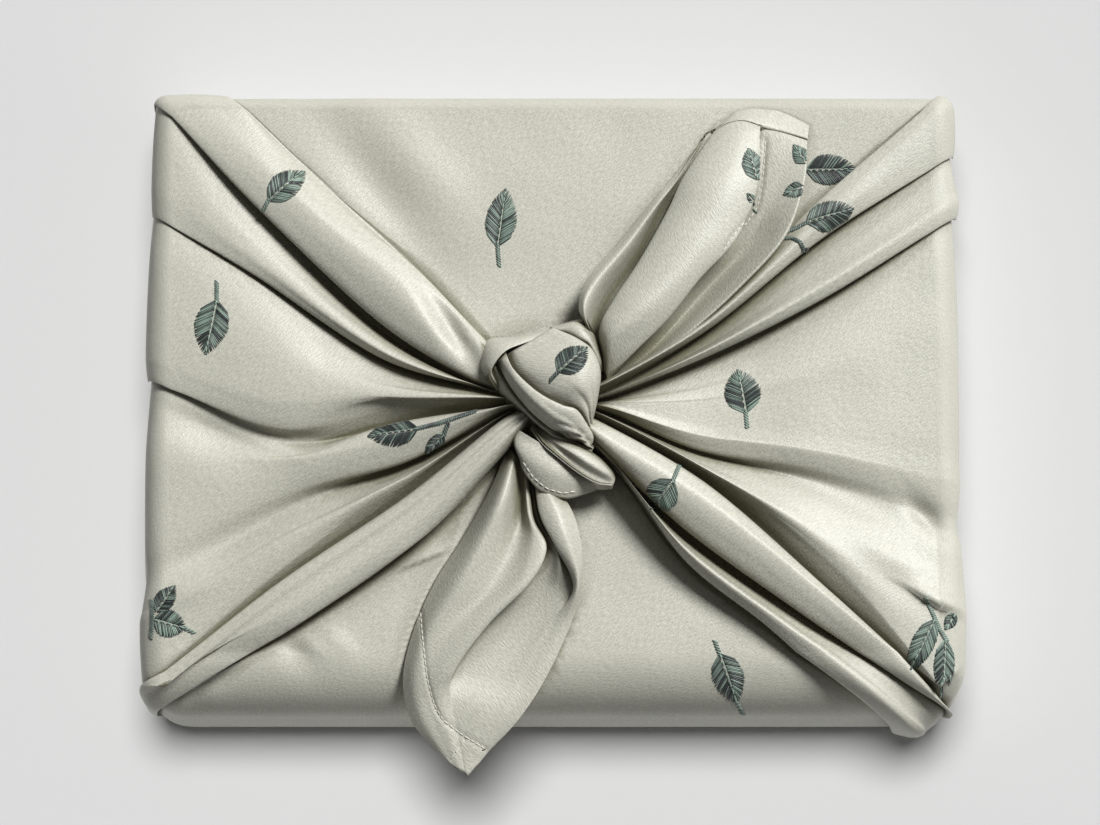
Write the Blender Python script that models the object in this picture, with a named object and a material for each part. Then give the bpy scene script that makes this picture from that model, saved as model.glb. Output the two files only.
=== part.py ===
"""Furoshiki wrap: one square of cotton sateen folded round a flat parcel and tied on top.

Everything is one cloth, so everything here becomes one closed solid: the wrapped
body with the folds that run from its edges up to the knot, the knot's four turns
and its two free tails.  Metres, +Z up, +X along the long side of the parcel, and the
origin on the surface below the middle of the parcel.
"""
import math
from collections import namedtuple

import bmesh
import bpy
import numpy as np
from mathutils import Vector

MM = 0.001

# Driving dimensions of the wrapped parcel.
WIDTH = 0.278
DEPTH = 0.216
HEIGHT = 0.050
# Rounding of the corners in plan, from the back right one counter-clockwise.
CORNER_ROUNDS = np.array((0.004, 0.003, 0.013, 0.015))
TOP_CORNER = 0.0015
# How far in and how far down the cloth turns over the parcel's edge on each side.
EDGE_RUNS = {"back": 0.005, "left": 0.007, "front": 0.020, "right": 0.007}
EDGE_DROPS = {"back": 0.005, "left": 0.007, "front": 0.018, "right": 0.007}
CORNER_BLEND = 0.012      # past a corner, where one side's turn has become the next one's
FOOT_ROUND = 0.005        # where the cloth turns in under the parcel
WALL_BULGE = 0.0015       # how far slack cloth stands off the middle of a wall
KNOT = np.array((-0.001, -0.003))   # middle of the knot, seen from above
KNOT_MOUTH = 0.009        # radius of the ring where every fold runs into the knot
CLOTH = 0.002             # a tail's thickness: two layers and the air between them
AROUND = 2 * (WIDTH + DEPTH)

# Where the folds are cut across: 0 to 1 is on top, from the knot to where the cloth
# turns down, 2 is past the edge, 3 is at the foot and 4 is under the parcel.
STATIONS = np.array((
    0, 0.07, 0.14, 0.21, 0.28, 0.36, 0.44, 0.52, 0.60, 0.68, 0.76, 0.84, 0.92,
    1, 1.25, 1.5, 1.75, 2, 2.35, 2.7, 3, 3.5, 4,
))
# How many faces span each gap between a band's six handles, from its crease on.
FACES_PER_GAP = (2, 1, 1, 1, 1, 2)

# A band's shape: where its steep sides end at most, how close its crest may come to them,
# how high the sides are there, and how wide a lap may be, all as shares.
SIDE_SHARE = 0.30
CREST_ROOM = 0.10
RISE_SHARE = 0.55
BROW_SHARE = 0.60
LAP_ROOM = 0.35
# How much of a fold is left at the foot of the wall.
FOOT_SHARE = 0.25
NARROWEST = 0.0001        # how near a corner a side is measured
SAMPLES = 400             # places at which a side is measured

# One row for each crease, counter-clockwise from the back as seen from above, with the
# band of cloth that follows it.  Millimetres, apart from peak and plump.
#   side, leaves        where the crease leaves the flat top, turns down and meets the foot
#   knot, near, mid     points that it passes on its way out
# Four sizes each, at the knot, near it, midway and at the edge:
#   lap                 how far the band before it lies over it (the band after it if minus)
#   floor, crest        height of the crease and of the band after it above the flat top
#   slopes              how far from the crease the bands before and after it reach half height
#   peak                share across the band where it is highest
#   plump               height of the band halfway down its sides, as a share of the crest
Crease = namedtuple(
    "Crease",
    "name side leaves knot near mid lap floor crest slopes peak plump",
)
CREASES = [
    Crease("roll_top", "back", (-106, -112, -130), (-26, 24), (-50, 51), (-78, 75),
           (-2, -2.5, -0.6, -0.8), (2, 0.6, 0.1, 0), (14, 12, 8, 1.8), (6, (2, 3, 6, 2)), 0.50, 0.90),
    Crease("roll_foot", "left", (99, 105, 106), (-23, 2), (-59, 24), (-102, 65),
           (1, 3, 3, 1), (5, 0.5, 0.2, 0.2), (12, 8, 4.5, 1.4), (1.2, 9), 0.70, 0.88),
    Crease("second_foot", "left", (60, 65, 88), (-20, 1), (-58, 12), (-103, 42),
           (1, 3, 3, 1.2), (6, 0.3, 0.1, 0.1), (13, 9, 6.5, 2.4), (1.2, 12),
           (0.55, 0.60, 0.72, 0.80), 0.90),
    Crease("broad_foot", "left", (2.5, 6.5, 22), (-19, -3.5), (-56, -8), (-92, -14.5),
           (-1, -2, 0.6, 2.6), (6, 0.4, 0, 0), (14, 10, 5.5, 1.8), ((5, 6, 4, 1.2), (1.2, 1.5, 5, 12)),
           (0.42, 0.42, 0.32, 0.42), 0.88),
    Crease("twig_foot", "left", (-60, -62, -78), (-17, -7), (-50, -24), (-90, -38.5),
           (1, 3, 0.4, 0), (6, 0.3, 0.4, 0.8), (12, 8, 6.8, 2.8), ((1.2, 1.2, 6, 10), (3, 4, 9, 10)),
           0.45, 0.88),
    Crease("flat_top", "left", (-93, -97, -104), (-17, -8), (-50, -30.5), (-95, -61.5),
           (-0.5, -3, -3.5, -3), (7, 4.2, 3.6, 1), (14, 11, 8, 2.6), (3, 0.8), 0.40, 1.05),
    Crease("flat_foot", "front", (-101, -133.5, -136), (-18, -26), (-43, -56), (-82, -77.5),
           (2, 3, 3, 3), (1, 0.5, 0.2, 0.2), (0.5, 0.5, 0.5, 0.3), (1.2, 6), 0.50, 0.95),
    Crease("low_foot", "front", (82, 115, 119), (22, -25), (45, -58), (71, -79),
           (-1, -3, -3, -2.5), (1, 0.3, 0.1, 0.1), (13, 11, 8.5, 6.5), (6, 1.3), 0.45, 0.88),
    Crease("ridge_foot", "front", (103, 133.5, 134.5), (22, -25.5), (45.5, -48), (81.5, -74),
           (-1, -3, -4, -3), (3, 0.3, 0.1, 0.1), (15, 13, 10, 5), (9, 1.2), (0.5, 0.6, 0.7, 0.6), 0.90),
    Crease("ridge_top", "front", (119, 137, 137.5), (17, -9), (54, -30), (95, -66),
           (1, 2.5, 2.5, 1.6), (6, 1, 0.3, 0.2), (12, 9, 6.5, 2.5), (1.2, (4, 5, 6, 8)),
           (0.45, 0.48, 0.52, 0.60), 0.88),
    Crease("soft_valley", "right", (-40, -41, -46), (18, -5.5), (50, -19.7), (90, -29.5),
           (-0.6, -2, -0.3, 0), (1, 0.1, 0, 0.3), (10, 6.5, 4.8, 1.6), ((4, 5, 8, 8), (1, 1.3, 4, 6)),
           (0.55, 0.55, 0.6, 0.6), 0.92),
    Crease("inner_pleat", "right", (-27, -28, -34), (19, -3.5), (50, -9.5), (90, -18),
           (0, 0, 0, 0), (9, 4.6, 4.5, 1.6), (11, 7.5, 4.4, 1.6), (3.5, 8), 0.42, 0.95),
    Crease("leaf_top", "right", (58, 64, 88), (19, -1), (54, 13), (93, 33),
           (-0.5, -2, -3, -1.4), (6, 0.5, 0.2, 0.2), (14, 10.5, 7.5, 2.6), (9, 1.3), 0.40, 0.90),
    Crease("second_top", "right", (80, 86, 102), (18, 1), (54, 22), (93, 54),
           (-0.5, -2.5, -3, -1), (6, 0.8, 0.3, 0.2), (14, 11, 8, 1.6), (9, 1.3), 0.46, 0.88),
    Crease("last_top", "back", (128, 134, 136), (17, 6), (51, 28), (88, 67),
           (1, 3, 4, 1), (2, 1, 0.3, 0), (0.5, 0.5, 0.5, 0.3), (1.3, 6), 0.50, 0.95),
]
# Sections along each turn of the knot, a row for each, in millimetres.  x, y and z are
# the section's middle, with z above the top of the parcel.  Wide runs across the way
# the cloth goes, and high is the turn's thickness.
Section = namedtuple("Section", "x y z wide high")
COLLAR = [
    Section(3, 19, 11, 9, 8),
    Section(-8, 19, 13, 12, 9),
    Section(-17, 15, 14, 13, 9),
    Section(-20, 8, 14, 11, 9),
    Section(-17, 1, 12, 10, 8),
    Section(-8, -5, 9, 9, 7),
]
OVER_BAND = [
    Section(-15, 10, 15, 13, 8),
    Section(-8, 9, 19, 24, 11),
    Section(1, 5, 22, 31, 13),
    Section(7, -3, 21, 26, 13),
    Section(10, -11, 18, 18, 11),
    Section(13, -18, 14, 13, 8),
    Section(17, -25, 10, 9, 5),
    Section(20, -29, 8, 4, 3),
]
BACK_TURN = [
    Section(2, 18, 12, 8, 8),
    Section(8, 21, 13, 9, 9),
    Section(14, 17, 13, 9, 9),
    Section(14, 8, 11, 8, 8),
]
LOWER_LOOP = [
    Section(-9, -9, 9, 8, 7),
    Section(-8, -18, 11, 13, 8),
    Section(-4, -26, 11, 18, 8),
    Section(4, -29, 10, 16, 7),
    Section(12, -29, 8, 11, 6),
    Section(18, -30, 7, 5, 4),
]

# The two free tails are corners of the cloth, each a sheet folded along its length.
# One row for each fold line that runs down the sheet, left edge first, with the places it
# passes on the way from the knot to the tip: (x, y, height above the parcel's top).
Line = namedtuple("Line", "root waist middle shoulder hem tip")
UPPER_TAIL = [
    Line((13, 22, 9), (12, 40, 12), (23, 54, 9), (34, 68, 7), (52, 91, 3.5), (55, 95, 1.5)),
    Line((16, 16, 8), (20, 33, 7), (30, 48, 6), (38, 65, 5.5), (54, 92, 4.5), (57, 97, 2)),
    Line((17, 9, 12), (26, 28, 21), (35, 43, 19), (44, 60, 17), (59, 95, 8), (62, 101, 2.5)),
    Line((18, 6, 12), (32, 26, 21), (43, 40, 20), (54, 57, 18), (66, 95, 8.5), (69, 102, 2.5)),
    Line((18.5, 4.5, 10), (39, 25, 16), (50, 39, 16), (63, 54, 14.5), (72, 93, 8), (76, 101, 2.5)),
    Line((18.5, 3.5, 8), (42, 25, 8), (54, 38, 7.5), (68, 54, 7), (80, 92, 6), (82, 99, 2.5)),
    Line((18, 2, 7), (47, 22, 10), (63, 36, 11), (79, 55, 11), (88, 89, 6), (89, 96, 2)),
]
LOWER_TAIL = [
    Line((-15, -17, 7), (-31, -48, 3), (-41, -64, 2), (-48, -81, 2), (-48, -111, 1.5), (-38, -122, 0)),
    Line((-13, -20, 10), (-23, -50, 14), (-33, -67, 12), (-41, -82, 10), (-44, -109, 6.5), (-36, -124, 0.5)),
    Line((-9, -24, 9), (-2, -53, 12), (-7, -65, 12), (-21, -79, 11), (-35, -105, 6.5), (-30, -127, 0.5)),
    Line((-8, -25, 8), (0, -53, 9), (-4, -65, 6.5), (-16, -79, 3), (-32, -106, 3.5), (-28, -129, 0.5)),
    Line((-5, -26, 9), (5, -52, 14), (8, -65, 10), (4, -77, 3.5), (-14, -110, 3), (-23, -123, 0)),
    Line((-2, -26, 8), (10, -51, 9), (10, -63, 7), (6, -77, 3), (-12, -111, 2.5), (-21, -121, 0)),
]
STEPS_ALONG = 3
STEPS_ACROSS = 2
TURN_STEPS = 2
RING_SIDES = 10


def side_frame(side):
    """A side's first corner, its two directions and its length, counter-clockwise."""
    half_w = WIDTH / 2
    half_d = DEPTH / 2
    return {
        "back": ((half_w, half_d), (-1, 0), (0, 1), WIDTH),
        "left": ((-half_w, half_d), (0, -1), (-1, 0), DEPTH),
        "front": ((-half_w, -half_d), (1, 0), (0, -1), WIDTH),
        "right": ((half_w, -half_d), (0, 1), (1, 0), DEPTH),
    }[side]


SIDES = ("back", "left", "front", "right")
FRAMES = [side_frame(side) for side in SIDES]
STARTS = np.cumsum([0] + [frame_row[3] for frame_row in FRAMES[:3]])


def by_side(sizes, distance):
    """A size that differs by side, mixed smoothly past the corners."""
    distance = np.asarray(distance, float) % AROUND
    spots = []
    values = []
    for side, start, row in zip(SIDES, STARTS, FRAMES):
        spots += [start + CORNER_BLEND, start + row[3] - CORNER_BLEND]
        values += [sizes[side]] * 2
    spots = [spots[-1] - AROUND] + spots + [spots[0] + AROUND]
    values = [values[-1]] + values + [values[0]]
    return np.interp(distance, spots, values)


def outline(distance, inset):
    """Points and outward directions on the rounded outline, moved in by inset."""
    distance = np.asarray(distance, float) % AROUND
    inset = np.broadcast_to(inset, distance.shape)
    side = np.clip(np.searchsorted(STARTS, distance, side="right") - 1, 0, 3)
    corners, alongs, outwards = (np.array([row[k] for row in FRAMES], float)[side] for k in range(3))
    length = np.array([row[3] for row in FRAMES])[side]
    run = distance - STARTS[side]
    first = CORNER_ROUNDS[side]
    last = CORNER_ROUNDS[(side + 1) % 4]
    straight = np.clip(run, first, length - last)
    late = run > length / 2
    turn = ((run - straight) / np.where(late, last, first) * math.pi / 4)[..., None]
    normal = outwards * np.cos(turn) + alongs * np.sin(turn)
    blend = np.minimum(1, inset / EDGE_RUNS["back"])
    inner_first = first + (TOP_CORNER - first) * blend
    inner_last = last + (TOP_CORNER - last) * blend
    inner = (length - 2 * inset - inner_first - inner_last) / (length - first - last)
    centre_run = inset + inner_first + (straight - first) * inner
    radius = np.where(late, inner_last, inner_first)
    centre = corners + alongs * centre_run[..., None] - outwards * (inset + radius)[..., None]
    return centre + normal * radius[..., None], normal


def edge_distance(side, at, share):
    """Distance round the outline of a place on one side: x on the back and front, y on the
    left and right; share is 1 where the top ends and 0 on the wall."""
    index = SIDES.index(side)
    distance = STARTS[index] + np.linspace(NARROWEST, FRAMES[index][3] - NARROWEST, SAMPLES)
    points, _ = outline(distance, share * by_side(EDGE_RUNS, distance))
    along = points[:, 0 if FRAMES[index][1][0] else 1]
    order = np.argsort(along)
    return float(np.interp(at, along[order], distance[order]))


def smooth_way(points, place):
    """Points on a smooth curve through a stack of points, place counted in spans."""
    spans = len(points) - 1
    place = np.asarray(place, float)
    index = np.clip(place.astype(int), 0, spans - 1)
    t = (place - index).reshape(place.shape + (1,) * (points.ndim - 1))
    padded = np.concatenate([2 * points[:1] - points[1:2], points, 2 * points[-1:] - points[-2:-1]])
    a, b, c, d = (padded[index + k] for k in range(4))
    bend = (2 * a - 5 * b + 4 * c - d) * t ** 2 + (3 * b - a - 3 * c + d) * t ** 3
    return 0.5 * (2 * b + (c - a) * t + bend)


def place_of(crease):
    """The numbers that fix a crease's line, so that the lines between two can be mixed."""
    knot = np.array(crease.knot) * MM
    entry = KNOT + (knot - KNOT) / np.linalg.norm(knot - KNOT) * KNOT_MOUTH
    top, edge, foot = (at * MM for at in crease.leaves)
    return np.array([
        *entry, *knot, *(np.array(crease.near) * MM), *(np.array(crease.mid) * MM),
        edge_distance(crease.side, top, 1.0),
        edge_distance(crease.side, edge, 0.0),
        edge_distance(crease.side, foot, 0.0),
    ])


def all_places():
    """Every crease's place in order, and the first again after a full turn."""
    rows = [place_of(crease) for crease in CREASES]
    for before, row in zip(rows, rows[1:]):
        while row[8] < before[8] - MM:
            row[8:] += AROUND
    rows.append(rows[0].copy())
    rows[-1][8:] += AROUND
    return np.array(rows)


def base_row(line, station):
    """Points of the plain parcel in one cut, and the directions off it."""
    points = np.zeros((len(line), 3))
    normals = np.zeros((len(line), 3))
    if station <= 1:
        end, _ = outline(line[:, 8], by_side(EDGE_RUNS, line[:, 8]))
        ways = np.stack([line[:, 0:2], line[:, 2:4], line[:, 4:6], line[:, 6:8], end])
        points[:, :2] = smooth_way(ways, np.array([station * (len(ways) - 1)]))[0]
        points[:, 2] = HEIGHT
        normals[:, 2] = 1
    elif station <= 2:
        tip = (station - 1) * math.pi / 2
        distance = line[:, 8] + math.sin(tip) * (line[:, 9] - line[:, 8])
        run = by_side(EDGE_RUNS, distance)
        drop = by_side(EDGE_DROPS, distance)
        inner, _ = outline(line[:, 8], by_side(EDGE_RUNS, line[:, 8]))
        outer, _ = outline(line[:, 9], 0.0)
        _, normal = outline(distance, 0.0)
        points[:, :2] = inner + math.sin(tip) * (outer - inner)
        points[:, 2] = HEIGHT - drop * (1 - math.cos(tip))
        slant = np.stack([drop * math.sin(tip), run * math.cos(tip)], axis=1)
        slant /= np.linalg.norm(slant, axis=1, keepdims=True)
        normals[:, :2] = normal * slant[:, :1]
        normals[:, 2] = slant[:, 1]
    elif station <= 3:
        share = station - 2
        spot, normal = outline(line[:, 9] + share * (line[:, 10] - line[:, 9]), 0.0)
        points[:, :2] = spot + normal * WALL_BULGE * math.sin(math.pi * share)
        top = HEIGHT - by_side(EDGE_DROPS, line[:, 9])
        points[:, 2] = top - share * (top - FOOT_ROUND)
        normals[:, :2] = normal
    else:
        tip = (station - 3) * math.pi / 2
        points[:, :2], normal = outline(line[:, 10], FOOT_ROUND * (1 - math.cos(tip)))
        points[:, 2] = FOOT_ROUND * (1 - math.sin(tip))
        normals[:, :2] = normal * (4 - station)
    return points, normals


def base_surface(places):
    """Points of the plain parcel and the directions off it, cuts by columns."""
    places = np.broadcast_to(places, (len(STATIONS),) + places.shape[-2:])
    rows = [base_row(line, station) for line, station in zip(places, STATIONS)]
    return np.array([row[0] for row in rows]), np.array([row[1] for row in rows])


def along_way(sizes, fades=True):
    """One size, or four on the way out from the knot, which may fade out down the wall."""
    sizes = np.broadcast_to(np.array(sizes, float), 4)
    sizes = np.concatenate([sizes[:1], sizes])
    size = smooth_way(sizes, np.clip(STATIONS, 0, 1) * (len(sizes) - 1))
    if fades:
        down = np.clip(STATIONS - 2, 0, 1)
        under = np.clip(STATIONS - 3, 0, 1)
        size = size * (1 - (1 - FOOT_SHARE) * down - FOOT_SHARE * under)
    return size * MM


def fold_handles(places):
    """Six handles of the folds' section in each band, each with its place counted in bands
    and its height, at every cut."""
    points, _ = base_surface(places)
    widths = np.linalg.norm(np.diff(points, axis=1), axis=2)
    handles = []
    for index, crease in enumerate(CREASES):
        after = CREASES[(index + 1) % len(CREASES)]
        width = widths[:, index]
        width_before = widths[:, index - 1]
        room = LAP_ROOM * np.minimum(width, width_before)
        lap = np.clip(along_way(crease.lap), -room, room)
        floor = np.maximum(0, along_way(crease.floor))
        next_floor = np.maximum(0, along_way(after.floor))
        crest = along_way(crease.crest)
        shift = np.where(lap > 0, -lap / width_before, -lap / width)
        rise = np.minimum(SIDE_SHARE, along_way(crease.slopes[1], False) / width)
        brow = 1 - np.minimum(SIDE_SHARE, along_way(after.slopes[0], False) / width)
        peak = along_way(crease.peak, False) / MM
        peak = np.clip(peak, rise + CREST_ROOM, brow - CREST_ROOM)
        handles += [
            (index + shift, floor),
            (index + rise, floor + (crest - floor) * RISE_SHARE),
            (index + (rise + peak) / 2, floor + (crest - floor) * crease.plump),
            (index + peak, crest),
            (index + (peak + brow) / 2, next_floor + (crest - next_floor) * crease.plump),
            (index + brow, next_floor + (crest - next_floor) * BROW_SHARE),
        ]
    return handles


def fold_sections():
    """Points all the way round the parcel at every cut, folds and all."""
    bands = len(CREASES)
    places = all_places()
    handles = fold_handles(places)
    across = np.stack([handle[0] for handle in handles])
    heights = np.stack([handle[1] for handle in handles])
    across = np.concatenate([across[-1:] - bands, across, across[:2] + bands])
    heights = np.concatenate([heights[-1:], heights, heights[:2]])
    spots = np.concatenate([
        1 + index + np.linspace(0, 1, faces, endpoint=False)
        for index, faces in enumerate(FACES_PER_GAP * bands)
    ])
    section = smooth_way(np.stack([across, heights], axis=-1), spots)
    where = section[..., 0].T
    lift = section[..., 1].T
    index = np.floor(where).astype(int)
    share = (where - index)[..., None]
    turns = (index // bands)[..., None] * AROUND
    low = places[index % bands].copy()
    high = places[index % bands + 1].copy()
    low[..., 8:] += turns
    high[..., 8:] += turns
    points, normals = base_surface(low + share * (high - low))
    return points + normals * lift[..., None]


def bridge(mesh, rings, first_cap, last_cap):
    """Join rings of points with faces and close both ends."""
    verts = [[mesh.verts.new(point) for point in ring] for ring in rings]
    for inner, outer in zip(verts, verts[1:]):
        for index in range(len(inner)):
            after = (index + 1) % len(inner)
            mesh.faces.new((inner[index], outer[index], outer[after], inner[after]))
    for ring, flip in ((verts[0], first_cap), (verts[-1], last_cap)):
        mesh.faces.new(ring[::-1] if flip else ring)


def new_object(name, mesh):
    bmesh.ops.recalc_face_normals(mesh, faces=mesh.faces)
    bmesh.ops.triangulate(mesh, faces=mesh.faces)
    data = bpy.data.meshes.new(name)
    mesh.to_mesh(data)
    mesh.free()
    piece = bpy.data.objects.new(name, data)
    bpy.context.scene.collection.objects.link(piece)
    return piece


def wrapped_body():
    """The parcel with its folds, as one closed shape."""
    mesh = bmesh.new()
    bridge(mesh, fold_sections(), True, False)
    return new_object("furoshiki_cloth", mesh)


def swept(name, sections):
    """A flattened tube of cloth through a list of sections."""
    table = np.array(sections, float)
    spans = len(sections) - 1
    rows = smooth_way(table, np.linspace(0, spans, spans * TURN_STEPS + 1))
    rings = []
    for index, row in enumerate(rows):
        ahead = Vector(rows[min(index + 1, len(rows) - 1)][:3])
        behind = Vector(rows[max(index - 1, 0)][:3])
        along = (ahead - behind).normalized()
        side = along.cross(Vector((0, 0, 1))).normalized()
        up = side.cross(along).normalized()
        middle = Vector((row[0] * MM, row[1] * MM, HEIGHT + row[2] * MM))
        ring = []
        for corner in range(RING_SIDES):
            angle = 2 * math.pi * corner / RING_SIDES
            across = math.cos(angle) * row[3] * MM / 2
            ring.append(middle + side * across + up * (math.sin(angle) * row[4] * MM / 2))
        rings.append(ring)
    mesh = bmesh.new()
    bridge(mesh, rings, True, False)
    return new_object(name, mesh)


def folded_sheet(name, lines):
    """A closed sheet of cloth through the lines that run down it."""
    table = np.array(lines, float) * MM
    table[:, :, 2] += HEIGHT
    spans_across = table.shape[0] - 1
    spans_along = table.shape[1] - 1
    sheet = smooth_way(table, np.linspace(0, spans_across, spans_across * STEPS_ACROSS + 1))
    sheet = smooth_way(sheet.transpose(1, 0, 2), np.linspace(0, spans_along, spans_along * STEPS_ALONG + 1))
    under = sheet[:, ::-1] - (0, 0, CLOTH)
    mesh = bmesh.new()
    bridge(mesh, np.concatenate([sheet, under], axis=1), True, False)
    return new_object(name, mesh)


def cloth_material():
    material = bpy.data.materials.new("sage_sateen")
    material.use_nodes = True
    shader = material.node_tree.nodes["Principled BSDF"]
    shader.inputs["Base Color"].default_value = (0.62, 0.61, 0.54, 1)
    shader.inputs["Roughness"].default_value = 0.6
    shader.inputs["Metallic"].default_value = 0.0
    return material


def join_solids(body, extras):
    """Fuse the knot and tails into the body, because they are one cloth."""
    for extra in extras:
        fuse = body.modifiers.new(extra.name, "BOOLEAN")
        fuse.operation = "UNION"
        fuse.solver = "EXACT"
        fuse.object = extra
    bpy.context.view_layer.update()
    fused = bpy.data.meshes.new_from_object(body.evaluated_get(bpy.context.evaluated_depsgraph_get()))
    body.modifiers.clear()
    for extra in extras:
        bpy.data.objects.remove(extra, do_unlink=True)
    body.data = fused


def fill_pockets(body):
    """Close the small pockets of air that the tied cloth seals in, by dropping their walls."""
    mesh = bmesh.new()
    mesh.from_mesh(body.data)
    islands = []
    waiting = set(mesh.verts)
    while waiting:
        island = set()
        edge = [waiting.pop()]
        while edge:
            vert = edge.pop()
            island.add(vert)
            linked = {other for e in vert.link_edges for other in e.verts} & waiting
            waiting -= linked
            edge.extend(linked)
        islands.append(island)
    islands.sort(key=len)
    for island in islands[:-1]:
        bmesh.ops.delete(mesh, geom=list(island), context="VERTS")
    mesh.to_mesh(body.data)
    mesh.free()


def main():
    for old in list(bpy.data.objects):
        bpy.data.objects.remove(old, do_unlink=True)
    body = wrapped_body()
    extras = [
        swept("collar", COLLAR),
        swept("over_band", OVER_BAND),
        swept("back_turn", BACK_TURN),
        swept("lower_loop", LOWER_LOOP),
        folded_sheet("upper_tail", UPPER_TAIL),
        folded_sheet("lower_tail", LOWER_TAIL),
    ]
    join_solids(body, extras)
    fill_pockets(body)
    body.data.materials.append(cloth_material())


main()
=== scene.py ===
"""Furoshiki wrap in pale sage sateen, embroidered with leaves: the finished look.

One square of cloth, 700 mm each way, is folded round a flat parcel.  Its left and
right corners run up in long folds to a knot on top, which lets out two free tails.
Metres, +Z up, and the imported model's own frame.
"""
import math
import random
from collections import namedtuple
from functools import partial

import bmesh
import bpy
import numpy as np
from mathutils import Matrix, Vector
from mathutils.bvhtree import BVHTree

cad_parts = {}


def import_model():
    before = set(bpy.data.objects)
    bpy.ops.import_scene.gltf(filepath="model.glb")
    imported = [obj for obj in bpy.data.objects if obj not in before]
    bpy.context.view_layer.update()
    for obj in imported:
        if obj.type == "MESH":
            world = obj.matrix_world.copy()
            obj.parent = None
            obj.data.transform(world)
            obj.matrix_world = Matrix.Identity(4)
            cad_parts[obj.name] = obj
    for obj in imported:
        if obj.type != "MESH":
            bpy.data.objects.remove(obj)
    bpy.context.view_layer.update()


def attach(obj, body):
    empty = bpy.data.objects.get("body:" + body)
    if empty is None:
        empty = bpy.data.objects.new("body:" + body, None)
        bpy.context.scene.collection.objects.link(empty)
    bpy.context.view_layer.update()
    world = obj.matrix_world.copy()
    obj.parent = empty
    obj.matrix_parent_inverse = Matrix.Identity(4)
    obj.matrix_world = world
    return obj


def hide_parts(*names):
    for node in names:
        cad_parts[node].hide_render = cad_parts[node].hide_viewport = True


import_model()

bl_info = {
    "name": "Furoshiki Wrap",
    "version": (1, 0, 0),
    "blender": (4, 5, 0),
    "location": "View3D > Sidebar > Furoshiki",
    "description": "Builds a knotted furoshiki with embroidered leaves",
    "category": "Object",
}

CLOTH_NODE = "furoshiki_cloth"
MM = 0.001

# The wrapped parcel under the folds.
WIDTH = 0.278
DEPTH = 0.216
HEIGHT = 0.050
# Rounding of the corners in plan, from the back right one counter-clockwise.
CORNER_ROUNDS = np.array((0.004, 0.003, 0.013, 0.015))
TOP_CORNER = 0.0015
# How far in and how far down the cloth turns over the parcel's edge on each side.
EDGE_RUNS = {"back": 0.005, "left": 0.007, "front": 0.020, "right": 0.007}
EDGE_DROPS = {"back": 0.005, "left": 0.007, "front": 0.018, "right": 0.007}
CORNER_BLEND = 0.012
FOOT_ROUND = 0.005
WALL_BULGE = 0.0015
CROWN = 0.0008
KNOT = np.array((-0.001, -0.003))
KNOT_MOUTH = 0.006
AROUND = 2 * (WIDTH + DEPTH)
# The sides counter-clockwise: first corner, direction, the way it faces and length.
SIDES = ("back", "left", "front", "right")
FRAMES = (
    ((WIDTH / 2, DEPTH / 2), (-1, 0), (0, 1), WIDTH),
    ((-WIDTH / 2, DEPTH / 2), (0, -1), (-1, 0), DEPTH),
    ((-WIDTH / 2, -DEPTH / 2), (1, 0), (0, -1), WIDTH),
    ((WIDTH / 2, -DEPTH / 2), (0, 1), (1, 0), DEPTH),
)
STARTS = np.cumsum([0] + [row[3] for row in FRAMES[:3]])
# A side is searched for a place in this many steps, this far from its corners.
SIDE_STEPS = 400
SIDE_END = 0.0001

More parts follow.
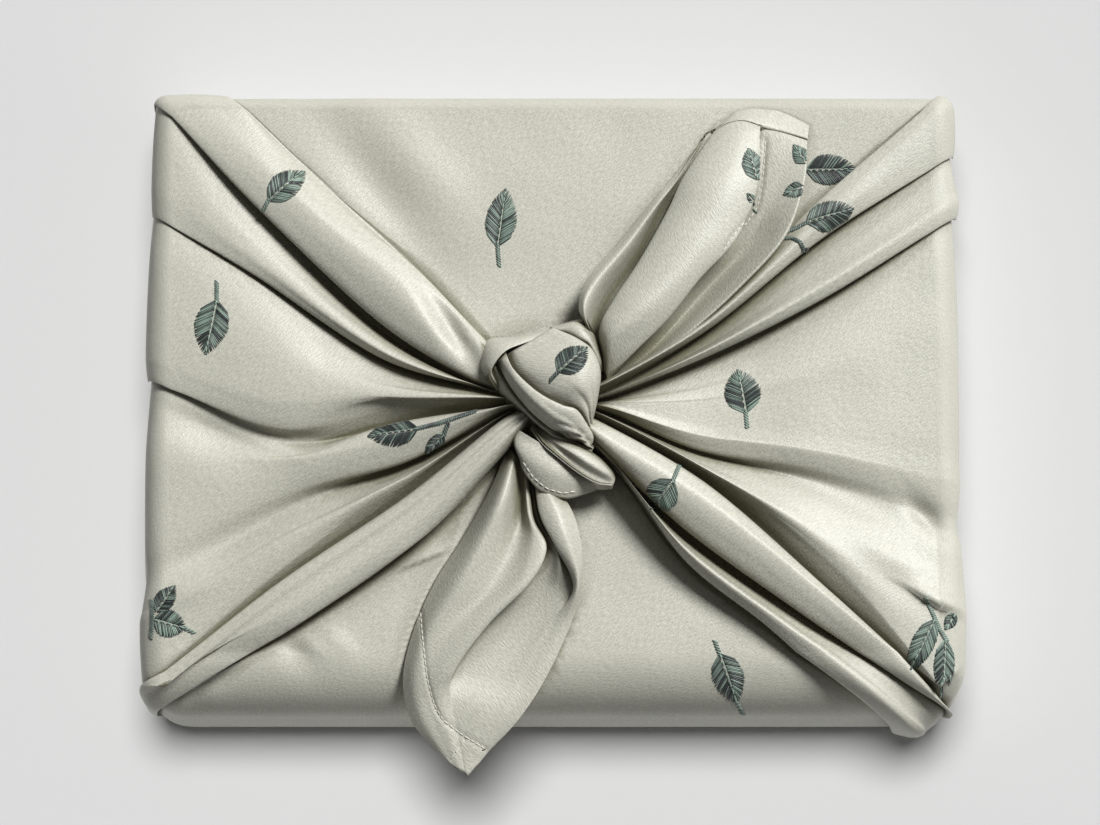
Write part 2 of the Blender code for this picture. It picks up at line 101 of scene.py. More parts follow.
# One row for each crease, counter-clockwise from the back as seen from above, with the
# band of cloth that follows it.  Millimetres, apart from peak, plump and columns.
#   side, leaves      where the crease leaves the flat top, turns down and meets the foot
#   knot, near, mid   points that it passes on its way out
# One size, or four at the knot, near it, midway and at the edge:
#   lap               how far the band before it lies over it (the band after it if minus)
#   floor, crest      height of the crease and of the band after it above the flat top
#   slopes            how far from it the bands before and after it reach their sides
#   peak              share across the band where it is highest
# One share, or one for each side of the band:
#   plump             height of the band halfway up its sides, as a share of the crest
# And columns, how finely the band is made.
Crease = namedtuple(
    "Crease",
    "name side leaves knot near mid lap floor crest slopes peak plump columns",
)
CREASES = [
    Crease("roll_top", "back", (-106, -112, -130), (-26, 24), (-50, 51), (-78, 75),
           (-2, -2.5, -0.6, -0.8), (2, 0.6, 0.1, 0), (14, 12, 8, 1.8), (6, (2, 3, 6, 2)), 0.50,
           0.90, 64),
    Crease("roll_foot", "left", (99, 105, 106), (-23, 2), (-59, 24), (-102, 65), (1, 3, 3, 1),
           (5, 0.5, 0.2, 0.2), (12, 8, 4.5, 1.4), (1.2, 9), 0.70, 0.88, 60),
    Crease("second_foot", "left", (60, 65, 88), (-20, 1), (-58, 12), (-103, 42), (1, 3, 3, 1.2),
           (6, 0.3, 0.1, 0.1), (13, 9, 6.5, 2.4), (1.2, 12), (0.55, 0.60, 0.72, 0.80), 0.90, 72),
    Crease("broad_foot", "left", (2.5, 6.5, 22), (-19, -3.5), (-56, -8), (-92, -14.5),
           (-1, -2, 0.6, 2.6), (6, 0.4, 0, 0), (14, 10, 5.5, 1.8), ((5, 6, 4, 1.2),
           (1.2, 1.5, 5, 12)), (0.42, 0.42, 0.32, 0.42), 0.88, 80),
    Crease("twig_foot", "left", (-60, -62, -78), (-17, -7), (-50, -24), (-90, -38.5),
           (1, 3, 0.4, 0), (6, 0.3, 0.4, 0.8), (12, 8, 6.8, 2.8), ((1.2, 1.2, 6, 10),
           (3, 4, 9, 10)), 0.45, 0.88, 60),
    Crease("flat_top", "left", (-93, -97, -104), (-17, -8), (-50, -34), (-95, -64.5),
           (-0.5, -3, -3.5, -3), (6, 1.5, 0.5, 0.1), (14, 11, 8.4, 3.4), ((2, 2, 2.4, 1.6), 0.8),
           0.40, 1.05, 64),
    Crease("flat_foot", "front", (-101.5, -133.5, -136), (-18, -23), (-43, -49.5), (-82, -77),
           (2, 3, 3, 3), (1, 0.5, 0.2, 0.2), (0.5, 0.5, 0.5, 0.3), (1.2, 6), 0.50, 0.95, 110),
    Crease("low_foot", "front", (82, 115, 119), (22, -25), (45, -58), (71, -79),
           (-1, -3, -3, -2.5), (1, 0.3, 0.1, 0.1), (13, 11, 8.5, 6.5), (6, 1.3), 0.45, 0.88, 64),
    Crease("ridge_foot", "front", (103, 133.5, 134.5), (22, -25.5), (45.5, -48), (81.5, -74),
           (-1, -3, -4, -3), (3, 0.3, 0.1, 0.1), (15, 13, 10, 5), (9, 1.2), (0.5, 0.6, 0.7, 0.6),
           0.90, 64),
    Crease("ridge_top", "front", (119, 137, 137.5), (17, -9), (54, -30), (95, -66),
           (1, 2.5, 2.5, 1.6), (6, 1, 0.3, 0.2), (12, 9.5, 8, 3.2), (1.2, (3.5, 4.5, 5.5, 7)),
           (0.45, 0.44, 0.42, 0.50), (0.86, 0.80), 72),
    Crease("soft_valley", "right", (-41, -42, -48), (18, -5.5), (50, -19.7), (90, -29),
           (-0.6, -2, -0.3, 0), (1, 0.1, 0, 0.3), (10, 6.3, 5.2, 1.8), ((4, 5, 8, 8),
           (1, 1.6, 4.5, 6)), 0.62, (0.80, 0.95), 44),
    Crease("inner_pleat", "right", (-20, -21, -28), (19, -3.5), (50, -9.5), (90, -13),
           (0, 0, 0, 0), (9.3, 5.6, 4.8, 1.7), (9.6, 5.4, 4.6, 2), (3.5, 8),
           (0.42, 0.42, 0.5, 0.6), (0.95, 0.8), 56),
    Crease("leaf_top", "right", (58, 64, 88), (19, -1), (54, 13), (93, 33), (-0.5, -2, -3, -1.4),
           (6, 0.5, 0.2, 0.2), (14, 10.5, 8, 3.2), (10, 1.3), (0.40, 0.36, 0.30, 0.34),
           (0.95, 0.66), 56),
    Crease("second_top", "right", (80, 86, 102), (18, 1), (54, 22), (93, 54), (-0.5, -2.5, -3, -1),
           (6, 0.8, 0.3, 0.2), (14, 11, 8, 2.4), (10, 1.3), 0.44, (0.92, 0.86), 60),
    Crease("last_top", "back", (128, 134, 136), (17, 6), (51, 28), (88, 67), (1, 3, 4, 1),
           (2, 1, 0.3, 0), (0.5, 0.5, 0.5, 0.3), (1.3, 6), 0.50, 0.95, 120),
]
# Places in a crease's row of numbers: where it leaves the top, turns down, meets the foot.
TOP, EDGE, FOOT = 8, 9, 10
# A band's height where its steep sides end, as a share of its height halfway down them.
SIDE_SHARE = 0.66
# The most of a band that a lap hides and a slope takes, and the least between them.
LAP_ROOM = 0.35
SLOPE_ROOM = 0.30
PEAK_ROOM = 0.1
# How much of its folds the cloth loses down the wall, and then under the foot.
WALL_FADE = 0.75
UNDER_FADE = 0.25
# How much the cloth's map spreads with each stretch past the top.
MAP_SPREAD = 0.2

# The first and last crease of each piece that the wrap is made in.
SPANS = {
    "left_gather": ("roll_top", "flat_foot"),
    "front_flap": ("flat_foot", "low_foot"),
    "right_gather": ("low_foot", "last_top"),
    "back_flap": ("last_top", "roll_top"),
}

# Rows of cloth on the way out: on each stretch of the top, the edge, the wall and below.
TOP_ROWS = (10, 30, 36, 34)
OUTER_ROWS = (12, 16, 6)
STRETCHES = len(TOP_ROWS)
BASE_ROWS = 20
BASE_COLUMNS = 24
BASE_GAP = 0.0003

# Soft ridges and troughs (minus) pressed into the cloth, in millimetres: middle, direction
# in degrees, half length, half width, half width on the right of the direction, and height.
Ripple = namedtuple("Ripple", "name x y heading length width fall lift")
RIPPLES = [
    Ripple("beside_roll", -60, 74, -52, 30, 8, 8, -1.8),
    Ripple("beside_roll_ridge", -47, 84, -50, 26, 9, 9, 1.2),
    Ripple("flap_swell", 10, 66, 5, 50, 20, 20, 0.8),
    Ripple("under_flat_ridge", -73, -85, -48, 8, 4, 4, 0.9),
    Ripple("under_flat_trough", -87, -88, -46, 7, 3.5, 3.5, -1.3),
    Ripple("under_flat_ridge_inner", -80, -87, -48, 7, 3, 3, 0.7),
    Ripple("under_flat_layer", -46, -56.5, 22, 10, 5, 0.6, 1.8),
    Ripple("corner_pleat", -113, -95.3, 24, 8, 0.7, 4, -1.4),
    Ripple("corner_pleat_low", -123.5, -103.5, 57, 7, 0.7, 4, -1.5),
    Ripple("corner_pinch", -129, -88, 31, 6, 1.6, 3, 0.4),
    Ripple("valley_hollow", -115, -12, -25, 18, 4, 9, -2.6),
    Ripple("edge_swell", -125, -66, 25, 12, 5, 5, 1.5),
    Ripple("edge_dip", -112, -50, 28, 24, 6, 6, -1.4),
    Ripple("thin_ridge", -62, -34.5, 32, 20, 2.2, 2.2, 1.6),
    Ripple("right_dent", 128, -40.5, -48, 9, 4, 3.5, -2.4),
    Ripple("right_knuckle", 118, -57, -27, 18, 5, 5, 1.3),
    Ripple("corner_knuckle", 129.5, -70.3, -30, 10, 4.5, 0.7, 2.8),
    Ripple("roll_hollow", -34, 22, -55, 15, 4, 4, -4.6),
    Ripple("front_swell", 10, -90, 5, 60, 14, 14, 0.8),
]
# The same on the knot's over band: the creases at its tucked end.
KNOT_RIPPLES = [
    Ripple("crease_high", 6.5, -13.6, -20, 6, 0.5, 0.5, -0.8),
    Ripple("crease_middle", 7, -15.6, -12, 6, 0.5, 0.5, -1.0),
    Ripple("crease_low", 8, -17.4, -9, 5.5, 0.45, 0.45, -0.9),
    Ripple("crease_end", 9, -19.2, -7, 5, 0.45, 0.45, -0.8),
    Ripple("swell", 7, -14.6, -15, 6, 0.6, 0.6, 0.5),
]
# Fine pleats on the over band: where they start along it, how many and how high.
PLEATS_START = 0.35
PLEATS = 11
PLEAT_HEIGHT = 0.0016
PLEAT_DRIFT = 0.4
PLEAT_VALLEY = 0.6

# Folds of the knot and the tails: each row is one line that a fold follows, from the
# piece's near end to its far end, as x, y and height above the flat top, in millimetres.
# A rim turns under towards the fold before it (the fold after it if minus) by lap, and
# comes down by drop.
Fold = namedtuple("Fold", "name points lap drop", defaults=(0, 0))
KNOT_PARTS = {
    "knot_collar": [
        Fold("outer_foot", ((-2, 24, 3), (-12, 22, 2), (-22, 21, 2), (-26, 14, 2), (-24, 7, 3),
             (-18, 0, 5))),
        Fold("outer", ((-1, 23, 10), (-12, 20.5, 10), (-22.5, 19, 10), (-25.5, 12, 10),
             (-24, 6.5, 10), (-18.5, 0.5, 9))),
        Fold("crest", ((0, 21.5, 14), (-11, 18.5, 16.5), (-19.5, 15.8, 17.5), (-22.8, 10.5, 17),
             (-22.3, 6, 15.5), (-18, 1, 12))),
        Fold("lip", ((-2, 19.5, 15), (-10.5, 16.2, 18), (-15.7, 13.8, 19.5), (-19.3, 10, 19.2),
             (-20.8, 6, 17), (-18, 1.5, 13)), 1.2, 3.5),
    ],
    "knot_back_turn": [
        Fold("outer_foot", ((-1, 25, 4), (8.5, 28, 2), (12.5, 26.5, 2), (16.5, 21.5, 2),
             (18, 14.5, 3), (17, 9, 4))),
        Fold("outer", ((0.5, 23, 11), (8.5, 26, 11), (12, 24, 11), (15.5, 20, 11), (17, 13.5, 10),
             (17, 9, 8))),
        Fold("crest", ((2, 22, 15), (8, 23, 17), (12, 20, 17.5), (14.5, 16, 17), (16.5, 11.5, 15),
             (17, 8.5, 12))),
        Fold("inner", ((3.5, 21, 15), (8.5, 18.5, 18), (12, 16.5, 18), (14, 13.5, 17),
             (16, 9.5, 14.5), (16.5, 8, 11)), 1.0, 4),
    ],
    "knot_inner_pleats": [
        Fold("foot", ((-12.5, -2, 8), (-12.5, -8, 8), (-12, -13, 8))),
        Fold("first", ((-11, -3, 11), (-11, -9, 10), (-9.5, -14, 9))),
        Fold("first_valley", ((-9.8, -4, 8), (-9.5, -10, 8), (-8, -15, 8))),
        Fold("second", ((-8.8, -5, 11.5), (-8.3, -10.5, 11), (-6, -15.5, 10))),
        Fold("second_valley", ((-7.6, -5.5, 8.5), (-7, -11, 8.5), (-5, -16, 8))),
        Fold("third", ((-6.5, -6, 12), (-5.5, -11.5, 12), (-3, -16.5, 11))),
        Fold("end", ((-5, -7, 9), (-4, -12, 9), (-1, -17, 9))),
    ],
    "knot_lower_loop": [
        Fold("upper", ((-8, -11, 6), (-12.5, -12, 14), (0.5, -20.5, 15.5), (8.5, -26.5, 14),
             (14.5, -28.5, 12), (18, -30, 9))),
        Fold("middle", ((-10, -15, 6), (-13, -18, 14), (-2.5, -26.5, 16), (6.5, -30, 14),
             (13.5, -30.5, 11), (18.5, -30.3, 8))),
        Fold("hem", ((-9, -20, 5), (-11.2, -23, 13), (-3.8, -32, 13.5), (5, -34.6, 11.8),
             (13, -32.6, 9), (19, -30.7, 7))),
        Fold("edge", ((-9, -20.5, 4), (-10.6, -25.3, 12), (-4.5, -33.3, 12), (4, -36, 10.3),
             (12, -33.7, 8), (19, -30.9, 6.5)), 1.0, 4),
    ],
    "knot_over_band": [
        Fold("foot", ((-19.5, 4, 7), (-15.5, -2.5, 7), (-10, -9, 7), (-4.5, -14.5, 8),
             (3.5, -19.5, 8), (12, -21.5, 9))),
        Fold("outline", ((-21, 7.5, 12), (-18, 0, 12), (-12.5, -5, 13), (-5, -11.5, 13),
             (3, -18, 13), (13.5, -20, 12))),
        Fold("first_ridge", ((-20, 9, 15), (-16, 1.5, 16), (-10.5, -5.5, 17), (-3.5, -12.5, 17),
             (5, -18, 16), (13.5, -20, 13))),
        Fold("second_rim", ((-19, 10.5, 16), (-15, 2.5, 18), (-9, -5.6, 19), (-2.5, -11.5, 19),
             (5, -16, 17.5), (13.5, -19.5, 13.5)), -1.2, 2.5),
        Fold("roll_ridge", ((-17.5, 11.5, 18.2), (-13.4, 3.5, 22.4), (-6.8, -4.3, 24.4),
             (0, -9.5, 24.4), (7.5, -13.5, 22), (14, -18.5, 15))),
        Fold("roll_rim", ((-16, 13.5, 17.5), (-13, 6.5, 22), (-5, -1.5, 24.5), (3, -6, 24.5),
             (8.5, -7.5, 22.5), (13, -13, 15.5)), 1.6, 2.8),
        Fold("face_low", ((-13.5, 14, 18), (-8, 6, 23.5), (0.5, -0.3, 25.5), (6.5, -3.2, 24.5),
             (11, -6.5, 21), (13.2, -12, 15))),
        Fold("face_middle", ((-9, 16.5, 18), (-2, 9, 25), (5, 3.5, 27), (10, -0.5, 26),
             (13, -4.5, 21), (13.5, -10, 15))),
        Fold("face_high", ((-4.5, 19.5, 17), (4.5, 13, 24), (10, 8, 26), (14, 3.5, 24),
             (14.5, -2.5, 20), (13.8, -9, 14.5))),
        Fold("right_edge", ((0.5, 22.5, 15), (8.5, 18, 19.5), (14, 13.5, 20), (16.5, 6.5, 18),
             (15.5, -2, 15), (14, -8.5, 13))),
        Fold("right_foot", ((0.5, 20, 6), (8, 15, 7), (13, 10, 7), (15, 4, 7), (14, -3, 7),
             (13, -8, 7))),
    ],
    "knot_pointed_fold": [
        Fold("front_foot", ((-8, -13, 9), (-5, -18.5, 10), (0, -22.5, 10), (8, -28.8, 9),
             (15, -32.3, 8), (20.3, -32.3, 8))),
        Fold("lower_rim", ((-7.5, -12, 14), (-4, -17.5, 16), (0.5, -21.8, 17), (8.5, -28, 16.2),
             (15, -31.4, 14.5), (20.4, -31.8, 11.6)), -1.0, 1.6),
        Fold("hollow", ((-5.4, -11.5, 12.8), (-1.6, -16.8, 15), (3.2, -20.6, 16.4),
             (9.8, -26, 16.4), (16, -29.4, 14.8), (20.9, -31, 11.6))),
        Fold("crown", ((-2.5, -13.5, 14), (1.8, -17.8, 17), (6.5, -21.2, 18.6), (12.6, -25, 18.2),
             (18, -28, 16), (21.3, -29.8, 11.6))),
        Fold("shoulder", ((-1.5, -12.5, 13), (3.5, -16.5, 15.5), (9, -19.3, 16.5),
             (14.8, -22.8, 15.8), (19.6, -26.6, 13.5), (21.5, -28.8, 10.6))),
        Fold("back_foot", ((-1, -12, 8), (5, -15.5, 8), (11, -17.8, 8), (17, -21, 7),
             (20.8, -25.4, 7), (21.8, -28, 8))),
    ],
}
TAILS = {
    "upper_tail": [
        Fold("left", ((13, 22, 9), (9, 29.5, 14), (12, 40, 12), (23.5, 54.5, 9), (34.5, 68.5, 7),
             (41.5, 77.5, 5), (52.5, 91.5, 3.5), (53.1, 92.3, 1.8), (53.8, 93.2, 2.6),
             (56.5, 97, 1.5))),
        Fold("rim", ((15, 18.5, 11), (11, 26.5, 18), (14.5, 37, 16), (26, 52, 13), (36, 66.5, 10),
             (43, 76, 7), (53, 92, 4.5), (53.6, 92.9, 2.2), (54.3, 93.8, 3.4), (57, 97.5, 2))),
        Fold("valley", ((16.5, 16, 8), (15, 22, 9), (20, 33.5, 7), (30, 48.5, 6),
             (38.5, 65.5, 5.5), (45, 78, 5), (54, 92.5, 4.5), (54.6, 93.5, 2.4), (55.3, 94.5, 3.6),
             (58.3, 98.5, 2.2))),
        Fold("rim_left", ((17, 11.5, 10), (16, 22, 16), (20.5, 31.5, 16), (30, 46.5, 14),
             (39.5, 64, 12), (45.5, 77, 10), (55.6, 92.8, 6.5), (56.2, 94, 3.2), (57, 95, 4.8),
             (60.5, 99.5, 2.4)), (-3, -3, -3, -3, -3, -3, -1.5, 1, 2, 2),
             (4, 4, 4, 4, 4, 4, 2, 1, 0.6, 0.2)),
        Fold("crest_left", ((17.5, 8.5, 12), (19, 18.5, 20), (26, 28.5, 21), (35.5, 43, 19),
             (44.5, 60, 17), (51.5, 76, 14.5), (60.5, 95, 8), (61, 96.2, 4.6), (61.5, 97.3, 6.2),
             (64.5, 102, 2.6))),
        Fold("crest", ((18.5, 6, 12), (23, 16.5, 19), (32.5, 26.5, 21), (43.5, 40.5, 20),
             (54, 57, 18), (61.5, 75, 15.5), (66, 95.5, 8.5), (66.5, 96.8, 5), (67, 98, 6.6),
             (70, 103, 2.6))),
        Fold("rim_right", ((18.5, 4.5, 10), (28.5, 14.5, 15), (39.5, 25.5, 16), (50.5, 39.5, 16),
             (63.5, 54.5, 14.5), (71, 74, 12), (72, 93.7, 8), (72.5, 95, 4.8), (73, 96.2, 6.2),
             (75.5, 102.5, 2.6)), (3, 3, 3, 3, 3, 3, 1.5, -1, -2.5, -3),
             (5, 5, 5, 5, 5, 4, 2.2, 1.2, 0.6, 0.2)),
        Fold("strip", ((18.5, 3.5, 7), (30.5, 13.5, 6), (42, 25, 5), (54, 38.5, 4), (68, 54, 4),
             (77, 74, 7), (80, 92, 6), (80.4, 93.2, 3.4), (80.8, 94.4, 5), (83, 100.5, 2.4))),
        Fold("right", ((17.5, 2, 6), (32, 11, 9), (47.5, 22.5, 11), (63, 36.5, 12), (79.5, 55, 12),
             (87, 74.5, 9.5), (88.5, 89.5, 6), (88.7, 90.8, 3.4), (88.9, 92, 4.6),
             (89.6, 97, 2.2))),
    ],
    "lower_tail": [
        Fold("left", ((-15, -17, 6), (-22, -33, 6), (-31, -48.5, 3), (-41, -64.5, 2),
             (-48, -81.5, 2), (-51, -97, 2), (-48, -111, 1.5), (-38.5, -122.5, 0))),
        Fold("crest", ((-13, -20.5, 10), (-17, -36.5, 15), (-23.5, -50.5, 14), (-33, -67, 12),
             (-42.5, -82, 9), (-47, -97, 6.5), (-44.5, -110, 4.2), (-36, -124.5, 0.4))),
        Fold("valley", ((-11, -22, 9), (-11, -37.5, 6), (-13, -50, 7.5), (-20.5, -66, 9.5),
             (-33, -80, 10), (-42, -95.5, 8.2), (-41, -108, 5), (-33.8, -126.4, 0.5))),
        Fold("ridge", ((-9.5, -23.5, 9), (-8.5, -40, 10), (-6.5, -51, 12), (-11.5, -65.5, 13),
             (-25, -79, 12), (-36.3, -94.5, 9.5), (-37.8, -106, 5.6), (-31.8, -127.8, 0.6))),
        Fold("rim", ((-8.5, -24.5, 8), (-6.5, -42, 9), (-2, -53, 12), (-7.5, -65, 12),
             (-21.5, -79, 11), (-33, -94.5, 8.5), (-35, -104.5, 5), (-30.2, -128.6, 0.5)),
             (3, 3, 3, 3, 3, 2.2, -1, -0.6), (4, 4, 4, 4, 4, 3.4, 0.4, 0.1)),
        Fold("floor", ((-8, -25, 6), (-5, -42.5, 8), (0, -53.5, 10.5), (-4, -65.5, 5.2),
             (-16, -79.5, 3), (-29, -94.5, 2.8), (-31.5, -105.5, 4.2), (-28.7, -129.5, 0.4))),
        Fold("dip", ((-7, -25.5, 6), (-4, -42.5, 7), (2, -54.5, 11.5), (1.5, -67, 5.6),
             (-7, -80, 2.9), (-18, -95.5, 2.8), (-24, -108, 4.1), (-26.5, -127, 0.4))),
        Fold("rim_right", ((-6.5, -26, 8), (-4.5, -41, 12), (0.5, -52, 13), (7, -66, 9),
             (0, -78, 4.2), (-9.5, -96, 3.5), (-17.5, -109.5, 3.8), (-24.6, -125, 0.2)),
             (-2, -2, -2, -1.2, 1.2, 1.2, 1.2, 0.8), (4, 4, 4, 2, 0.1, 0, 0, 0)),
        Fold("right_crest", ((-4.5, -26.5, 9), (1, -39.5, 14), (5.5, -52, 14.5), (8.7, -65, 11),
             (4, -77.8, 5), (-5.5, -96.5, 3.9), (-14.2, -110.3, 3.2), (-23, -123, 0))),
        Fold("right", ((-2, -26.5, 7), (6.5, -39.5, 9), (10, -51.5, 9), (10, -63.5, 7),
             (6.5, -77.5, 3.6), (-2.5, -97, 3), (-11.8, -111, 2.5), (-21.4, -121, -0.3))),
    ],
}

# The embroidery.  Places are x and y in millimetres; tone runs from 0, dark grey, to 1,
# green; a band's name keeps a motif off the folds beside it.
Leaf = namedtuple("Leaf", "name cloth band base tip width tone stem")
LEAVES = [
    Leaf("leaf_roll", "left_gather", "roll_top", (-98.2, 69), (-86.2, 80.6), 9.7, 0.50,
         ((-98.4, 69), (-101, 64.3))),
    Leaf("leaf_back_flap", "back_flap", None, (-19.1, 53.9), (-16.3, 74.5), 10.3, 0.48,
         ((-19, 54.5), (-18.5, 47.3))),
    Leaf("leaf_broad", "left_gather", "second_foot", (-116.1, 34.5), (-119.6, 15.3), 11.4, 0.52,
         ((-116, 34), (-116.2, 41))),
    Leaf("leaf_tucked", "back_flap", None, (88.3, 81.4), (106, 81.8), 10.7, 0.22, ((88.5, 81.4),
         (85.5, 81))),
    Leaf("leaf_strip", "right_gather", "second_top", (87.8, 61), (104.4, 66.5), 10.3, 0.26,
         ((88.2, 61.2), (83.4, 58.7))),
    Leaf("curl_strip", "right_gather", "second_top", None, None, 0, 0.25, ((83.5, 59.1),
         (81.1, 58), (80.4, 55.5), (82.8, 55.5), (85.5, 53.8), (86.9, 51.6), (87.6, 48.5))),
    Leaf("bud_strip", "right_gather", "second_top", (86.9, 51.6), (89.7, 50.3), 3.0, 0.3, None),
    Leaf("leaf_tail", "upper_tail", None, (70.7, 75.1), (67.8, 86.5), 7.6, 0.75, None),
    Leaf("bud_tail", "upper_tail", None, (69.6, 67), (67.2, 69.8), 2.8, 0.6, ((69.6, 69),
         (70.2, 65.6))),
    Leaf("leaf_tail_tip", "upper_tail", None, (89.9, 79.4), (83.8, 89), 6.2, 0.85, None),
    Leaf("leaf_tail_side", "upper_tail", None, (87.8, 73.7), (80.1, 70.9), 5.5, 0.65, None),
    Leaf("leaf_right", "right_gather", "inner_pleat", (66.5, -5.5), (63.9, 10.2), 12.1, 0.62,
         ((66.4, -5), (66.9, -10.8))),
    Leaf("leaf_knot", "knot_over_band", None, (1.8, 5), (11.8, 14.3), 9.4, 0.14, ((2.6, 5.6),
         (-0.6, 2.4))),
    Leaf("leaf_twig", "left_gather", "broad_foot", (-45.9, -12), (-63.3, -14.1), 9.3, 0.2,
         ((-46.5, -12), (-38.6, -10.2), (-32.1, -8.1), (-25.9, -6.1))),
    Leaf("leaf_twig_small", "left_gather", "broad_foot", (-37.2, -13.7), (-43.7, -21.2), 4.8, 0.2,
         ((-35.5, -9.9), (-36.5, -12.3), (-37.2, -14.1))),
    Leaf("leaf_ridge", "right_gather", "ridge_foot", (41.2, -30.2), (32.5, -41), 10.6, 0.5,
         ((41, -30.5), (43.4, -24.2))),
    Leaf("leaf_front_flap", "front_flap", None, (57.1, -88.1), (63.2, -104.2), 10.3, 0.55,
         ((57.3, -88.7), (55.5, -83.9))),
    Leaf("tip_front_flap", "front_flap", None, None, None, 0, 0.5, ((63, -103.8), (65.3, -107.2))),
    Leaf("leaf_spray", "right_gather", "ridge_top", (130.3, -76.5), (121.2, -95.1), 7.6, 0.55,
         ((127.5, -69.7), (129.6, -74.2), (132.1, -80), (134.2, -83.5))),
    Leaf("leaf_spray_low", "right_gather", "ridge_top", (134, -83.2), (132.7, -103.6), 6.9, 0.55,
         None),
    Leaf("leaf_spray_small", "right_gather", "ridge_top", (137.5, -74.5), (133.9, -80), 4.1, 0.5,
         None),
    Leaf("leaf_corner_dark", "left_gather", "twig_foot", (-135.3, -73.8), (-129, -64.9), 6.9, 0.2,
         None),
    Leaf("leaf_corner", "left_gather", "twig_foot", (-136, -76.4), (-125, -79.6), 9.3, 0.7,
         ((-125.4, -79.5), (-122.3, -81))),
    Leaf("stem_corner", "left_gather", "twig_foot", None, None, 0, 0.35, ((-137, -69.7),
         (-136.6, -73.8), (-136.6, -78.7), (-137, -82.4))),
]
# Lines of stitches on the tails' hems and the knot's loop, x and y in millimetres.
Seam = namedtuple("Seam", "name cloth points")
SEAMS = [
    Seam("hem_lower", "lower_tail", ((-45, -74), (-43.8, -86.5), (-42.6, -96.7), (-40.3, -105.5),
         (-37.2, -111), (-30.5, -116), (-25.5, -119), (-22.5, -120.8))),
    Seam("mitre_lower", "lower_tail", ((-34.6, -124), (-32, -120.5), (-29.8, -117.3))),
    Seam("hem_loop", "knot_lower_loop", ((-10, -24), (-6.5, -29.3), (-2, -33), (3.5, -34.4),
         (8, -33.6))),
    Seam("hem_upper", "upper_tail", ((74, 90.5), (73.5, 83), (72.5, 73.5), (71, 67), (68.5, 63),
         (65, 58.5), (61.5, 54), (58.5, 49))),
]

# Stitches: each is a rounded thread, cut short where the cloth jumps by more than a rim.
THREAD_SIDES = 6
THREAD_RINGS = 5
THREAD_FLATNESS = 0.62
THREAD_SEAT = 0.35
STITCH_STEP = 0.0005
SHORTEST_STITCH = 0.8
STITCH_SHARE = 0.86
RIM_JUMP = 0.0009
BAND_JUMP = 0.0030
# A leaf's threads, their radius as a share of the pitch, and the dark ones laid in the gaps as
# painted shade.
LEAF_SLANT = 0.20
LEAF_RADIUS = 0.46
LEAF_LIFT = 0.00016
LEAF_OVERHANG = 1.06
LEAF_TONES = (-0.62, -0.38, -0.16, 0.02, 0.38)
GAP_RADIUS = 0.42
GAP_LIFT = 0.00002
GAP_SHADE_TONE = -0.5
LEAST_OUT = 0.0002
# The midrib: half the gap between a leaf's halves, then its own stitches.
RIB_GAP = 0.00018
RIB_RADIUS = 0.00026
RIB_TONE = 0.45
RIB_PITCH = 0.0021
RIB_LIFT = 0.00045
# Stems, made of threads that slant across them; half such a thread is in millimetres.
STEM_PITCH = 0.00075
STEM_HALF = 1.15
STEM_SLANT = (0.55, 0.5)
STEM_RADIUS = 0.00040
STEM_LIFT = 0.00015
STEM_LOOK = 0.0004
# Hems: the thread, and the groove that it pulls into the cloth.
HEM_RADIUS = 0.00021
HEM_TONE = 0.7
HEM_LIFT = 0.00012
HEM_COLOURS = ((0.50, 0.49, 0.43), (0.82, 0.81, 0.74))
GROOVE = 0.00040
GROOVE_RUN = 0.0007
GROOVE_STEPS = 20

# How finely the knot and the tails are made: rows along, and columns between two folds.
KNOT_GRID = (64, 9)
TAIL_GRID = (136, 18)
# How far around a point other folds count as hiding it from light, for painted shade, and the ways
# that are looked.
SHADE_REACH = 0.018
SHADE_START = 0.0003
SHADE_RAYS = 10
SHADE_LEANS = (math.radians(35), math.radians(65))
# Any direction that no fold faces, to turn the rays about.
SHADE_ASIDE = (0.31, 0.95, 0.05)

# The stage.
FLOOR_HALF = 4.0
SENSOR = 36.0
LENS = 132.8
CAMERA_TARGET = (-0.00085, -0.0043, 0.050)
# How far each light stands from due back towards the right, its height and its spread.
LIGHTS = {"cloth": (42, 46, 20), "floor": (0, 77, 28)}


def by_side(sizes, distance):
    """A size that differs by side, mixed smoothly past the corners."""
    distance = np.asarray(distance, float) % AROUND
    spots = []
    values = []
    for side, start, row in zip(SIDES, STARTS, FRAMES):
        spots += [start + CORNER_BLEND, start + row[3] - CORNER_BLEND]
        values += [sizes[side]] * 2
    spots = [spots[-1] - AROUND] + spots + [spots[0] + AROUND]
    values = [values[-1]] + values + [values[0]]
    return np.interp(distance, spots, values)


def outline(distance, inset):
    """Points and outward directions on the rounded outline, moved in by inset."""
    distance = np.asarray(distance, float) % AROUND
    inset = np.broadcast_to(inset, distance.shape)
    side = np.clip(np.searchsorted(STARTS, distance, side="right") - 1, 0, 3)
    corners, alongs, outwards, length = (
        np.array([row[k] for row in FRAMES], float)[side] for k in range(4)
    )
    run = distance - STARTS[side]
    first = CORNER_ROUNDS[side]
    last = CORNER_ROUNDS[(side + 1) % 4]
    straight = np.clip(run, first, length - last)
    late = run > length / 2
    turn = ((run - straight) / np.where(late, last, first) * math.pi / 4)[..., None]
    normal = outwards * np.cos(turn) + alongs * np.sin(turn)
    blend = np.minimum(1, inset / EDGE_RUNS["back"])
    inner_first = first + (TOP_CORNER - first) * blend
    inner_last = last + (TOP_CORNER - last) * blend
    inner = (length - 2 * inset - inner_first - inner_last) / (length - first - last)
    centre_run = inset + inner_first + (straight - first) * inner
    radius = np.where(late, inner_last, inner_first)
    centre = corners + alongs * centre_run[..., None] - outwards * (inset + radius)[..., None]
    return centre + normal * radius[..., None], normal


